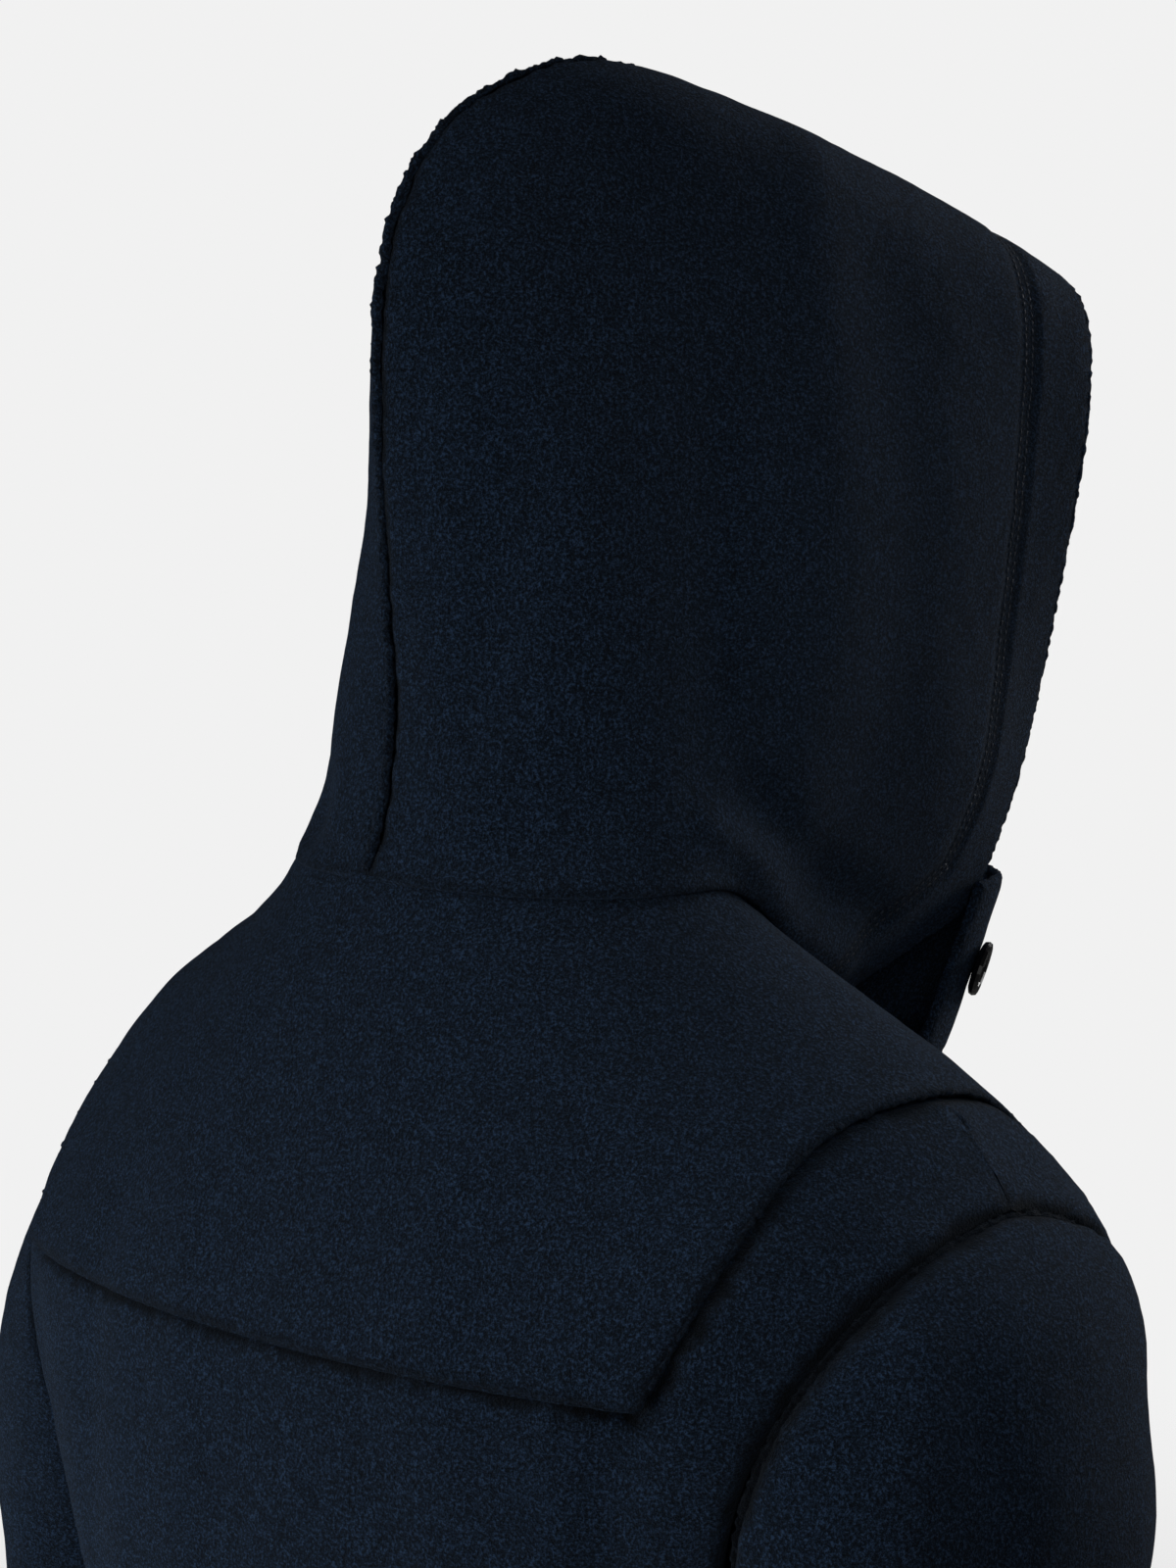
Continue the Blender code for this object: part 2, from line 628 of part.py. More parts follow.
def tab_point(angle, down):
    """A point on the throat tab's outer face, at an angle from its middle and a depth below its top edge."""
    rest = hood_point(0.0, TAB_REST_RISE, 1)
    half_width = rest.x + TAB_OUT + TAB_THICKNESS - TAB_NARROWING * down
    to_side, to_front = math.sin(angle), max(math.cos(angle), 0.0)
    x = half_width * math.copysign(abs(to_side) ** TAB_FULLNESS, to_side)
    y = rest.y + TAB_END_BACK + TAB_LEAN * down - TAB_DEPTH * to_front**TAB_FULLNESS
    return Vector((x, y, rest.z + TAB_ABOVE_REST - down))


def tab_normal(angle, down):
    step = 0.02
    around = tab_point(min(angle + step, math.pi / 2), down) - tab_point(max(angle - step, -math.pi / 2), down)
    return (tab_point(angle, down + 0.001) - tab_point(angle, down)).cross(around).normalized()


def make_tab(material):
    points, inward = [], []
    for i in range(TAB_ROWS + 1):
        down = TAB_HEIGHT * i / TAB_ROWS
        angles = [math.pi * (j / TAB_COLUMNS - 0.5) for j in range(TAB_COLUMNS + 1)]
        points.append([tab_point(angle, down) for angle in angles])
        inward.append([-TAB_THICKNESS * tab_normal(angle, down) for angle in angles])
    return cloth_wall("throat_tab", points, inward, material)


def make_buttons(material):
    up = Vector((0, 0, 1))
    for name, side in (("throat_button_left", 1), ("throat_button_right", -1)):
        angle = side * math.radians(TAB_BUTTON_AT)
        normal = tab_normal(angle, TAB_HEIGHT / 2)
        seat = tab_point(angle, TAB_HEIGHT / 2) + BUTTON_SEAT * normal
        lathe(name, BUTTON, BUTTON_SIDES, standing_on(seat, normal, up), material)
    step = 0.01
    at = (HOOD_BUTTON_PLACE, HOOD_BUTTON_RISE)
    around = with_head(hood_point(at[0] + step, at[1], 1)) - with_head(hood_point(at[0] - step, at[1], 1))
    rising = with_head(hood_point(at[0], at[1] + step, 1)) - with_head(hood_point(at[0], at[1] - step, 1))
    normal = rising.cross(around).normalized()
    seat = with_head(hood_point(at[0], at[1], 1)) + HOOD_BUTTON_SEAT * normal
    lathe("hood_button", BUTTON, BUTTON_SIDES, standing_on(seat, normal, up), material)


def front_place(drop, across, height, lift):
    """A point over the closed front: across to the left of its middle, height above the drop."""
    level = drop - height
    turn = 180.0
    for _ in range(4):
        turn = 180 - math.degrees(math.asin(across / body_point(level, turn).xy.length))
    return body_point(level, turn) + lift * body_normal(level, turn)


def cord(name, path, material):
    """A closed round cord along a path of points."""
    bm = bmesh.new()
    rings = []
    side = Vector((0, 0, 1))
    for i, point in enumerate(path):
        along = (path[min(i + 1, len(path) - 1)] - path[max(i - 1, 0)]).normalized()
        side = (side - side.dot(along) * along).normalized()
        other = along.cross(side)
        ring = []
        for k in range(CORD_SIDES):
            angle = 2 * math.pi * k / CORD_SIDES
            spoke = math.cos(angle) * side + math.sin(angle) * other
            ring.append(bm.verts.new(point + CORD_RADIUS * spoke))
        rings.append(ring)
    for first, second in zip(rings, rings[1:]):
        for k in range(CORD_SIDES):
            m = (k + 1) % CORD_SIDES
            bm.faces.new((first[k], first[m], second[m], second[k]))
    bm.faces.new(rings[0])
    bm.faces.new(rings[-1])
    bmesh.ops.recalc_face_normals(bm, faces=bm.faces)
    bmesh.ops.triangulate(bm, faces=bm.faces)
    return finished(name, bm, material)


def make_patch(name, drop, side, material):
    points, inward = [], []
    for i in range(3):
        row, vectors = [], []
        for j in range(PATCH_COLUMNS + 1):
            share = j / PATCH_COLUMNS
            across = side * (PATCH_NEAR + (PATCH_FAR - PATCH_NEAR) * share)
            half = PATCH_HEIGHT / 2 * (1 - PATCH_TAPER * share**4)
            outer = front_place(drop, across, half * (1 - i), PATCH_LIFT + PATCH_THICKNESS)
            row.append(outer)
            vectors.append(front_place(drop, across, half * (1 - i), PATCH_LIFT) - outer)
        points.append(row)
        inward.append(vectors)
    return cloth_wall(name, points, inward, material)


def catch_path(drop):
    """The loop from the left patch, round the toggle's middle and back."""
    end = CORD_RADIUS + CORD_CLEAR
    path = []
    for k in range(CATCH_STEPS):
        across = PATCH_NEAR - CORD_END + (end + CATCH_SPREAD - PATCH_NEAR) * k / CATCH_STEPS
        path.append((across, CATCH_SPREAD))
    for k in range(CATCH_BEND_STEPS + 1):
        angle = math.pi / 2 * (1 - 2 * k / CATCH_BEND_STEPS)
        path.append((end + CATCH_SPREAD * (1 - math.cos(angle)), CATCH_SPREAD * math.sin(angle)))
    path += [(across, -height) for across, height in reversed(path[:CATCH_STEPS])]
    return [front_place(drop, across, height, CORD_LIFT) for across, height in path]


def hold_path(drop):
    """The cord from the right patch along the cloth, over the toggle's waist and back."""
    middle = front_place(drop, HOLD_AT, 0, toggle_lift())
    outward = body_normal(drop, 180)
    up = Vector((0, 0, 1))
    round_waist = TOGGLE_WAIST + CORD_RADIUS + HOLD_CLEAR
    strand = []
    for k in range(HOLD_STEPS + 1):
        across = -PATCH_NEAR + CORD_END + (HOLD_AT - HOLD_SHORT + PATCH_NEAR) * k / HOLD_STEPS
        strand.append((across, HOLD_SPREAD))
    path = [front_place(drop, across, height, CORD_LIFT) for across, height in strand]
    for k in range(HOLD_BEND_STEPS + 1):
        angle = math.radians(HOLD_BEND_FROM + HOLD_BEND * k / HOLD_BEND_STEPS)
        path.append(middle + round_waist * (math.cos(angle) * up + math.sin(angle) * outward))
    path += [front_place(drop, across, -height, CORD_LIFT) for across, height in reversed(strand)]
    return path


def toggle_lift():
    return 2 * CORD_RADIUS + CORD_CLEAR + max(turn.radius for turn in TOGGLE)


def make_closure(wood, leather, rope):
    for number, drop in enumerate(TOGGLE_DROPS, 1):
        seat = front_place(drop, 0, 0, toggle_lift())
        lathe(f"toggle_{number}", TOGGLE, TOGGLE_SIDES, Matrix.Translation(seat), wood)
        make_patch(f"patch_left_{number}", drop, 1, leather)
        make_patch(f"patch_right_{number}", drop, -1, leather)
        cord(f"loop_left_{number}", catch_path(drop), rope)
        cord(f"loop_right_{number}", hold_path(drop), rope)


def main():
    clear_scene()
    wool = make_material("boiled_wool", WOOL, 0.95)
    plastic = make_material("button_plastic", BUTTON_BLACK, 0.25)
    wood = make_material("toggle_horn", TOGGLE_BROWN, 0.45)
    leather = make_material("patch_leather", LEATHER, 0.6)
    rope = make_material("loop_cord", CORD, 0.85)
    make_back(wool)
    make_front(1, wool)
    make_front(-1, wool)
    make_yoke(wool)
    make_sleeve(1, wool)
    make_sleeve(-1, wool)
    make_hood(1, wool)
    make_hood(-1, wool)
    make_tab(wool)
    make_buttons(plastic)
    make_closure(wood, leather, rope)


main()
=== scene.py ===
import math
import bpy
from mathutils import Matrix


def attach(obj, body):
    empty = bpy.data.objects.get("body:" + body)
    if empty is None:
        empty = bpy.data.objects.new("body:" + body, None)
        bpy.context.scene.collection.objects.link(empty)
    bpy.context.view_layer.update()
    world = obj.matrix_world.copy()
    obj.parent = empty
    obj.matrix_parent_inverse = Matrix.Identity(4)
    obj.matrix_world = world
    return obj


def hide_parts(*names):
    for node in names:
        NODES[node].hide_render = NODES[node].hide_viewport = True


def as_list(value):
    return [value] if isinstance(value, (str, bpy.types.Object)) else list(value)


bl_info = {
    "name": "Duffle coat with raised hood",
    "version": (1, 0, 0),
    "blender": (4, 5, 0),
    "location": "View3D > Sidebar > Coat",
    "description": "A worn wool duffle coat: shells, seams, raw edges, stitching, buttons and toggles",
    "category": "Object",
}

import bmesh
import bpy
import numpy as np
from bpy.props import FloatProperty, FloatVectorProperty, PointerProperty
from mathutils import Matrix, Vector, noise
from mathutils.bvhtree import BVHTree
from mathutils.kdtree import KDTree

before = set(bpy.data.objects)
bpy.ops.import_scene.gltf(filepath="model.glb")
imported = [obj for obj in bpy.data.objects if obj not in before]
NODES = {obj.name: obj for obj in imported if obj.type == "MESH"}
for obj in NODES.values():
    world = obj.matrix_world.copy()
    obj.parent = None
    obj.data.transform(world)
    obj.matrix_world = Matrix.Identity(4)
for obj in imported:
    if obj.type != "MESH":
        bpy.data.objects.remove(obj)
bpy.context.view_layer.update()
MM = 0.001

INNER, OUTER, CUT = 0, 1, 2  # marks on a panel's faces: its inside, its outside, its cut edge
CUT_EDGE_ANGLE = math.radians(55)  # an edge that stands out more sharply than this ends a side of the cloth
CORNER_ANGLE = math.radians(38)  # a cut edge that turns by more than this has a corner
SHARP_ANGLE = math.radians(50)  # an edge sharper than this isn't shaded smooth
SMOOTHING = 2  # levels of Subdivision Surface on a panel

# Places inside the hollows that the panels stand round, for a sleeve on the wearer's left.
HOOD_HOLLOW = (0, -0.05, 0.12)
SHOULDER_HOLLOW = (0.16, 0.01, -0.30)
SLEEVE_AXIS = ((0.229, 0.008, -0.345), (0.272, -0.058, -0.72))
BODY_HOLLOW_TOP = -0.15

# What a panel's side is, from where its middle lies, in metres.
FACE_IN_FRONT_OF = -0.13
HOOD_NECK_BELOW = 0.02
CUFF_BELOW = -0.6
YOKE_SIDE_BEYOND = 0.15
YOKE_HEM_BELOW = -0.15
HEM_BELOW = -0.9
OPENING_WITHIN = 0.1
OPENING_BELOW = -0.3

# Each panel's cut, in metres: flat width and length, area, what it hangs from, how often its outside is split.
PANELS = {
    "yoke": dict(flat=(0.52, 0.42), area=0.143, hung=[], fine=1),
    "back": dict(flat=(0.62, 0.98), area=0.496, hung=["yoke"], fine=1),
    "front_left": dict(flat=(0.36, 0.96), area=0.273, hung=["yoke"], fine=1),
    "front_right": dict(flat=(0.36, 0.96), area=0.273, hung=["yoke"], fine=1),
    "sleeve_left": dict(flat=(0.40, 0.66), area=0.182, hung=["back"], fine=1),
    "sleeve_right": dict(flat=(0.40, 0.66), area=0.182, hung=["back"], fine=1),
    "hood_left": dict(flat=(0.40, 0.42), area=0.118, hung=["yoke"], fine=2),
    "hood_right": dict(flat=(0.40, 0.42), area=0.118, hung=["yoke"], fine=2),
    "throat_tab": dict(flat=(0.27, 0.07), area=0.0158, hung=["hood_left", "hood_right"], fine=2),
}

# How deep, and over what width, the cloth rolls down into a seam between two kinds of panel, in mm.
SEAM_ROLLS = {
    ("back", "sleeve"): (4.6, 7.5),
    ("front", "sleeve"): (4.6, 7.5),
    ("sleeve", "back"): (4.2, 7.5),
    ("sleeve", "front"): (4.2, 7.5),
    ("sleeve", "yoke"): (4.2, 7.5),
    ("back", "front"): (1.8, 6.0),
    ("front", "back"): (1.8, 6.0),
    ("yoke", "back"): (1.2, 5.0),
    ("yoke", "front"): (1.2, 5.0),
    ("hood", "yoke"): (0.8, 5.0),
    ("hood", "ridge"): (3.4, 6.5),
}
PLAIN_ROLL = (0.7, 4.0)  # at an edge that is sewn to nothing
CLOSED_ROLL, CLOSED_ABOVE = (0.0, 4.0), -0.125  # the shoulder seam above this height is pressed closed
RIDGE_FOOT_ROLL, RIDGE_FOOT_BELOW = (1.4, 6.5), 0.008  # the ridge runs out into the neck seam
CLOSED_DEPTH = 0.0002  # a seam whose roll is shallower than this is closed
SEAM_REACH = 0.0055  # panels nearer than this at their edges are sewn together
SEAM_CLOSING = 0.0008  # how far each side of a closed seam reaches over the gap
OWN_ROLL = 0.0014  # a seam rolls in by this much in the outside alone, and by the rest in the inside too
ROLL_EVENING = 12  # how many times the rolls are evened out along an edge
ROLL_WOBBLE, ROLL_WAVE = 0.7, 0.007  # the share by which a roll's width strays, and over what length
DARK_DEPTH = 0.0020  # a roll this deep gets painted shade down to its bottom
DARK_REACH = 2.6  # how far the painted shade comes up the side of a roll or groove

# The cloth's unevenness: the lengths of its waves, in metres, and their shares.
WAVES = ((0.055, 1.1), (0.021, 0.7))
RIPPLE_LENGTH, RIPPLE_SHARE = 0.0085, 0.45
INSIDE_UNEVENNESS = 0.5

# Stitched rows lie in a trough: its half width and depth in metres, and how much painted shade it gets.
ROW_REACH, ROW_DEPTH, ROW_DARK = 0.005, 0.0012, 0.6

# Along the yoke's edge the cloth swells, and dips into a groove at the edge itself, which gets painted shade.
# In metres.
YOKE_NEAR = 0.05
YOKE_ABOVE = 0.012  # a point with the yoke this close above it lies under it, and stays plain
YOKE_SWELL, YOKE_SWELL_REACH = 0.0034, 0.024
GROOVE_DEPTH, GROOVE_WOBBLE, GROOVE_WAVE = 0.0026, 0.5, 0.006
HEM_GROOVE, SIDE_GROOVE = 0.0068, 0.0092  # its width below the yoke's hem, and beside its sides
HEM_GROOVE_BELOW, HEM_GROOVE_WITHIN = -0.14, 0.165

# The yoke swells beside the hood's foot.
NECK_SWELL, NECK_SWELL_REACH = 0.0010, 0.009

# Soft folds of each panel: half width and height (below 0 for a hollow), then the line it follows, in mm.
SOFT_FOLDS = {
    "hood_right": (
        (15, -3.0, [(-89, -14, 190), (-89, -14, 148), (-92, -11, 92), (-98, -2, 37)]),
        (20, 2.2, [(-64, -95, 279), (-92, -69, 222), (-105, -64, 165), (-108, -58, 109), (-105, -54, 52),
                   (-100, -51, 5)]),
        (20, -1.8, [(-100, -105, 225), (-115, -100, 165), (-117, -98, 100), (-112, -95, 40)]),
        (22, 1.8, [(-62, 49, 61), (-67, 38, 113), (-66, 21, 167)]),
        (9, 3.5, [(-101, -2, 22), (-101, -16, 13), (-97, -47, -18), (-88, -78, -36), (-81, -102, -49)]),
        (10, -3.2, [(-103, -22, 34), (-102, -55, 2), (-96, -85, -18), (-92, -115, -30)]),
        (14, -1.6, [(-35, 62, 60), (-40, 60, 110), (-44, 52, 165)]),
    ),
    "hood_left": (
        (15, -3.0, [(89, -24, 195), (91, -20, 142), (93, -14, 88), (98, -4, 40)]),
        (12, 2.8, [(66, -92, 276), (94, -72, 218), (106, -66, 160), (107, -60, 104), (104, -52, 48),
                   (100, -46, 8)]),
        (16, -2.4, [(101, -110, 220), (116, -104, 160), (116, -98, 96), (110, -92, 36)]),
        (22, 1.6, [(60, 46, 70), (64, 40, 120), (64, 26, 172)]),
        (9, 3.2, [(100, -6, 20), (97, -44, -14), (88, -76, -34), (81, -104, -50)]),
    ),
    "yoke": (
        (16, -2.0, [(97, 149, -175), (94, 145, -150), (92, 142, -128)]),
        (18, 1.4, [(33, 156, -165), (40, 148, -140), (47, 139, -112)]),
        (18, 1.6, [(-90, 149, -165), (-86, 140, -135), (-80, 128, -105)]),
    ),
    "back": (
        (16, -2.6, [(92, 150, -300), (95, 152, -242), (97, 149, -203), (96, 146, -175)]),
        (18, 1.6, [(26, 161, -320), (30, 160, -225), (33, 156, -175)]),
        (18, 2.2, [(-108, 148, -300), (-103, 148, -227), (-98, 147, -191), (-92, 147, -165)]),
        (14, -4.6, [(-150, 122, -320), (-160, 122, -250), (-162, 122, -200), (-167, 117, -172)]),
        (14, -3.0, [(150, 122, -330), (160, 121, -255), (164, 120, -205), (167, 117, -176)]),
        (3, -2.2, [(-204, 88, -195), (-208, 85, -208), (-211, 84, -222)]),
        (30, -4.0, [(-40, 158, -380), (-44, 152, -560), (-52, 160, -760), (-56, 165, -915)]),
        (30, -4.0, [(52, 158, -400), (58, 152, -580), (64, 160, -740), (70, 163, -915)]),
        (26, 3.0, [(4, 160, -420), (2, 155, -600), (6, 164, -915)]),
    ),
    "sleeve_right": (
        (3, -1.8, [(-217, 81, -207), (-220, 81, -216), (-224, 80, -230)]),
        (12, 1.8, [(-240, 40, -150), (-246, 58, -190), (-248, 66, -240), (-246, 66, -300)]),
        (14, -2.4, [(-262, 30, -160), (-270, 34, -210), (-270, 36, -280), (-266, 34, -340)]),
    ),
    "sleeve_left": (
        (3, -1.8, [(218, 81, -208), (221, 81, -217), (225, 80, -232)]),
        (12, 1.8, [(240, 42, -152), (246, 58, -192), (248, 66, -244), (246, 66, -306)]),
        (14, -2.4, [(262, 28, -164), (270, 32, -214), (270, 36, -290), (266, 34, -350)]),
    ),
}

# Where the worn cloth stands out from its solid or sinks in: panels, then middle, reach and height in mm.
EASES = [
    (("hood_left", "hood_right"), (14, 26, 287), 42, -2.6),
    (("hood_left",), (42, 50, 132), 52, -3.4),
    (("hood_left",), (56, 60, 18), 20, -5.0),
    (("hood_left",), (76, 58, -2), 26, -1.6),
    (("hood_right",), (-122, -184, 142), 52, -4.4),
    (("hood_right",), (-108, -155, 30), 42, 3.2),
    (("yoke",), (-92, -72, -44), 24, 3.4),
    (("hood_right",), (-98, -60, -14), 26, -2.2),
    (("yoke",), (148, 46, -62), 46, 5.4),
    (("yoke",), (-182, -92, -102), 46, -3.4),
    (("yoke",), (182, -92, -102), 46, -3.4),
    (("front_right", "back"), (-190, -70, -95), 34, 1.6),
    (("front_left", "back"), (190, -70, -95), 34, 1.6),
    (("sleeve_right", "front_right", "back"), (-232, -75, -140), 34, 6.4),
    (("sleeve_right", "front_right"), (-246, -88, -190), 24, -4.6),
    (("sleeve_right",), (-262, -66, -252), 44, 6.5),
    (("sleeve_left", "back"), (250, 58, -178), 36, -3.8),
    (("sleeve_left",), (252, 74, -275), 62, 4.0),
]

# A kind of panel's double row of stitches follows the side whose middle has the least of this
# coordinate: 1 is y, so that side is in front, and 2 is z.
STITCHED_SIDES = {"hood": 1, "back": 2, "front": 2, "sleeve": 2}

# Raw edges: radius of the looped edge, height and width of its bobbles in mm, and how much painted shade it
# carries, for the shadow of the groove it lies in.
RAW_EDGES = {
    "ridge": (2.2, 1.5, 3.6, 0.25),
    "face": (1.6, 0.8, 3.0, 0.0),
    "tab": (2.3, 0.8, 3.2, 0.0),
    "cuff": (1.5, 0.5, 2.6, 0.0),
    "hem": (1.5, 0.5, 2.6, 0.0),
    "opening": (1.5, 0.5, 2.6, 0.0),
    "yoke_side": (1.3, 1.1, 2.8, 0.6),
    "yoke_hem": (0.8, 0.4, 2.4, 0.4),
    "armhole": (2.2, 1.6, 3.0, 0.95),
}
RAW_EDGE_STEP = 0.00125
RIDGE_BESIDE, RIDGE_ABOVE = 0.0016, -0.0008  # where the ridge's raw edge runs from the hood's left half

CORD_LAY = 0.009  # length in which a strand of the cord goes round once
CORD_STRAND = 0.00095  # radius of one strand
CORD_STEP = 0.0007
PATCH_FRONT = -0.7  # a patch's face that looks forward by more than this is its front

LOOK_AT = (-0.035, 0, 0.031)
FRAME_WIDTH = 36  # the camera's sensor, in mm
VIEW_DEPTH = 100
FLOOR_RADIUS = 6.0
FLOOR_FADE = (0.5, 2.6)  # between these distances from its middle the floor fades into the surround
FLOOR_CLEAR = 0.6  # how clear its middle already is
FLOOR_GREY = (0.74, 0.74, 0.74, 1)

# Lights: name, place and aim in metres, diameter in metres, watts.
LIGHTS = (
    ("key_left", (1.2, 1.9, 1.1), (0, 0, -0.05), 1.3, 9.4),
    ("near_back", (0.2, 1.1, -0.35), (0, 0.1, -0.25), 0.5, 5.0),
    ("overhead", (-0.2, 0.5, 2.2), (0, 0, 0), 1.8, 0.8),
    ("overhead_front", (-0.35, -0.6, 2.2), (-0.12, 0, -0.05), 0.7, 5.0),
    ("low_side", (-2.0, 0.6, -0.1), (-0.15, 0, -0.15), 0.8, 0.7),
    ("rim_behind", (-0.35, -2.1, 0.6), (-0.1, 0, -0.05), 1.0, 17.0),
    ("shoulder_glow", (-0.50, 0.20, 0.16), (-0.11, -0.06, -0.06), 0.2, 0.36),
    ("rim_low", (-0.7, -2.0, -0.3), (-0.2, -0.05, -0.2), 0.8, 2.5),
)


def hollow_point(name, point):
    """A point inside the hollow that a panel stands round, from which its outside faces away."""
    if name.startswith("hood"):
        return Vector(HOOD_HOLLOW)
    if name.startswith("sleeve"):
        top, foot = (Vector(end) for end in SLEEVE_AXIS)
        place = Vector(SHOULDER_HOLLOW)
        if point.z <= top.z:
            place = top.lerp(foot, (point.z - top.z) / (foot.z - top.z))
        if name == "sleeve_right":
            place.x = -place.x
        return place
    return Vector((0, 0, min(point.z, BODY_HOLLOW_TOP)))


def linear(code):
    """A colour written as sRGB hex, made linear, with alpha 1."""
    parts = [int(code[i:i + 2], 16) / 255 for i in (1, 3, 5)]
    return tuple(c / 12.92 if c <= 0.04045 else ((c + 0.055) / 1.055) ** 2.4 for c in parts) + (1.0,)


def wire(tree, node, inputs):
    """Sets a node's inputs, or links them where they are given another node's output."""
    for key, value in inputs.items():
        if isinstance(value, bpy.types.NodeSocket):
            tree.links.new(value, node.inputs[key])
        else:
            node.inputs[key].default_value = value
    return node


def add(tree, kind, inputs=None, **settings):
    """Adds a shader node, with its settings, and its inputs set or linked."""
    node = tree.nodes.new("ShaderNode" + kind)
    for key, value in settings.items():
        setattr(node, key, value)
    return wire(tree, node, inputs or {})


def new_material(name):
    """A material with a Principled shader, its tree, the shader, and the place on the piece in metres."""
    material = bpy.data.materials.new(name)
    material.use_nodes = True
    tree = material.node_tree
    tree.nodes.clear()
    shader = add(tree, "BsdfPrincipled")
    add(tree, "OutputMaterial", {"Surface": shader.outputs["BSDF"]})
    return material, tree, shader, add(tree, "TexCoord").outputs["Object"]


def ramp(tree, factor, stops):
    """A colour ramp between sRGB stops, as (place, hex) pairs."""
    node = add(tree, "ValToRGB", {"Fac": factor})
    elements = node.color_ramp.elements
    while len(elements) > 1:
        elements.remove(elements[-1])
    elements[0].position = stops[0][0]
    elements[0].color = linear(stops[0][1])
    for place, code in stops[1:]:
        elements.new(place).color = linear(code)
    return node.outputs["Color"]


# ---------------------------------------------------------------- materials

def boiled_wool(settings):
    """Boiled wool boucle: a looped yarn, knitted and felted. It is matte, with a fuzzy grain of curls about
    1 mm across that catch the light singly, a melange of navy and near black, with painted shade drawing it
    towards near black in its seams and grooves, and a faint sheen where its fibres stand against the light."""
    material, tree, shader, place = new_material("boiled_wool_boucle")
    nap = settings.nap
    warp = add(tree, "TexNoise", {"Vector": place, "Scale": 0.5 / nap, "Detail": 1.0})
    bent = add(tree, "VectorMath", {0: warp.outputs["Color"], 1: (nap, nap, nap)}, operation="MULTIPLY")
    moved = add(tree, "VectorMath", {0: place, 1: bent.outputs["Vector"]}, operation="ADD").outputs["Vector"]
    curls = add(tree, "TexNoise", {"Vector": moved, "Scale": 0.75 / nap, "Detail": 2.0, "Roughness": 0.75})
    fibres = add(tree, "TexNoise", {"Vector": place, "Scale": 2.6 / nap, "Detail": 2.0, "Roughness": 0.7})
    patches = add(tree, "TexNoise", {"Vector": place, "Scale": 0.09 / nap, "Detail": 4.0, "Roughness": 0.6})
    height = add(tree, "Math", {0: fibres.outputs["Fac"], 1: 0.5, 2: curls.outputs["Fac"]},
                 operation="MULTIPLY_ADD").outputs["Value"]
    tone = add(tree, "Math", {0: patches.outputs["Fac"], 1: 0.08, 2: height}, operation="MULTIPLY_ADD")
    spread = add(tree, "MapRange", {"Value": tone.outputs["Value"], "From Min": 0.56, "From Max": 1.02})
    colour = ramp(tree, spread.outputs["Result"],
                  [(0.1, "#050910"), (0.4, "#101A27"), (0.6, "#1C2D42"), (0.9, "#385274")])
    # Painted shade: an attribute on each point mixes the wool towards near black in its seams, grooves,
    # stitched troughs and raw edges.
    painted_shade = add(tree, "Attribute", attribute_name="painted_shade").outputs["Fac"]
    shade = add(tree, "Mix", {0: painted_shade, 6: colour, 7: linear("#030507")}, data_type="RGBA")
    bump = add(tree, "Bump", {"Strength": 1.0, "Distance": settings.relief, "Height": height})
    wire(tree, shader, {"Base Color": shade.outputs[2], "Normal": bump.outputs["Normal"], "Roughness": 0.95,
                        "Specular IOR Level": 0.12, "Sheen Weight": settings.sheen, "Sheen Roughness": 0.4,
                        "Sheen Tint": linear("#8FA6C4")})
    return material


def cast_button():
    """Black polyester resin, cast and tumble polished: a clear gloss, with faint dark swirls 6 mm across
    and fine handling scratches."""
    material, tree, shader, place = new_material("polyester_button_polished")
    swirl = add(tree, "TexNoise", {"Vector": place, "Scale": 1 / 0.006, "Detail": 4.0, "Distortion": 1.2})
    scratch = add(tree, "TexNoise", {"Vector": place, "Scale": 1 / 0.0012, "Detail": 2.0})
    gloss = add(tree, "MapRange", {"Value": scratch.outputs["Fac"], "To Min": 0.08, "To Max": 0.22})
    wire(tree, shader, {"Base Color": ramp(tree, swirl.outputs["Fac"], [(0.35, "#050506"), (0.7, "#121318")]),
                        "Roughness": gloss.outputs["Result"], "IOR": 1.54, "Coat Weight": 0.3})
    return material


def grain_leather():
    """Cowhide, vegetable tanned and dyed through: a fine pebbled grain 0.9 mm across, a dull polish, darker
    in the creases."""
    material, tree, shader, place = new_material("cowhide_patch_dyed")
    grain = add(tree, "TexVoronoi", {"Vector": place, "Scale": 1 / 0.0009}, feature="DISTANCE_TO_EDGE")
    tone = add(tree, "TexNoise", {"Vector": place, "Scale": 1 / 0.008, "Detail": 3.0}).outputs["Fac"]
    cells = add(tree, "MapRange", {"Value": grain.outputs["Distance"], "From Max": 0.25}).outputs["Result"]
    mix = add(tree, "Math", {0: tone, 1: cells}, operation="MULTIPLY").outputs["Value"]
    bump = add(tree, "Bump", {"Strength": 0.6, "Distance": 0.00015, "Height": cells})
    wire(tree, shader, {"Base Color": ramp(tree, mix, [(0.0, "#0B0908"), (0.35, "#1D1613"), (0.7, "#2E241E")]),
                        "Normal": bump.outputs["Normal"], "Roughness": 0.5})
    return material


def fibrous(name, width, stops, texture, finish, relief=None, stretch=(1, 1, 1)):
    """A material whose colour, and relief if it has any, follow one noise of fibres of this width."""
    material, tree, shader, place = new_material(name)
    along = add(tree, "Mapping", {"Vector": place, "Scale": stretch}).outputs["Vector"]
    fibre = add(tree, "TexNoise", {"Vector": along, "Scale": 1 / width, **texture}).outputs["Fac"]
    wire(tree, shader, {"Base Color": ramp(tree, fibre, stops), **finish})
    if relief:
        bump = add(tree, "Bump", {"Strength": relief, "Distance": 0.0002, "Height": fibre})
        wire(tree, shader, {"Normal": bump.outputs["Normal"]})
    return material


def buffalo_horn():
    """Buffalo horn, turned and waxed: near black with brown streaks along the grain and a soft polish."""
    return fibrous("buffalo_horn_turned", 0.0016,
                   [(0.3, "#120C08"), (0.52, "#2B1A10"), (0.68, "#5A3D26"), (0.85, "#80603F")],
                   {"Detail": 5.0, "Distortion": 0.6}, {"Roughness": 0.28, "IOR": 1.55}, 0.35, (0.12, 1, 1))


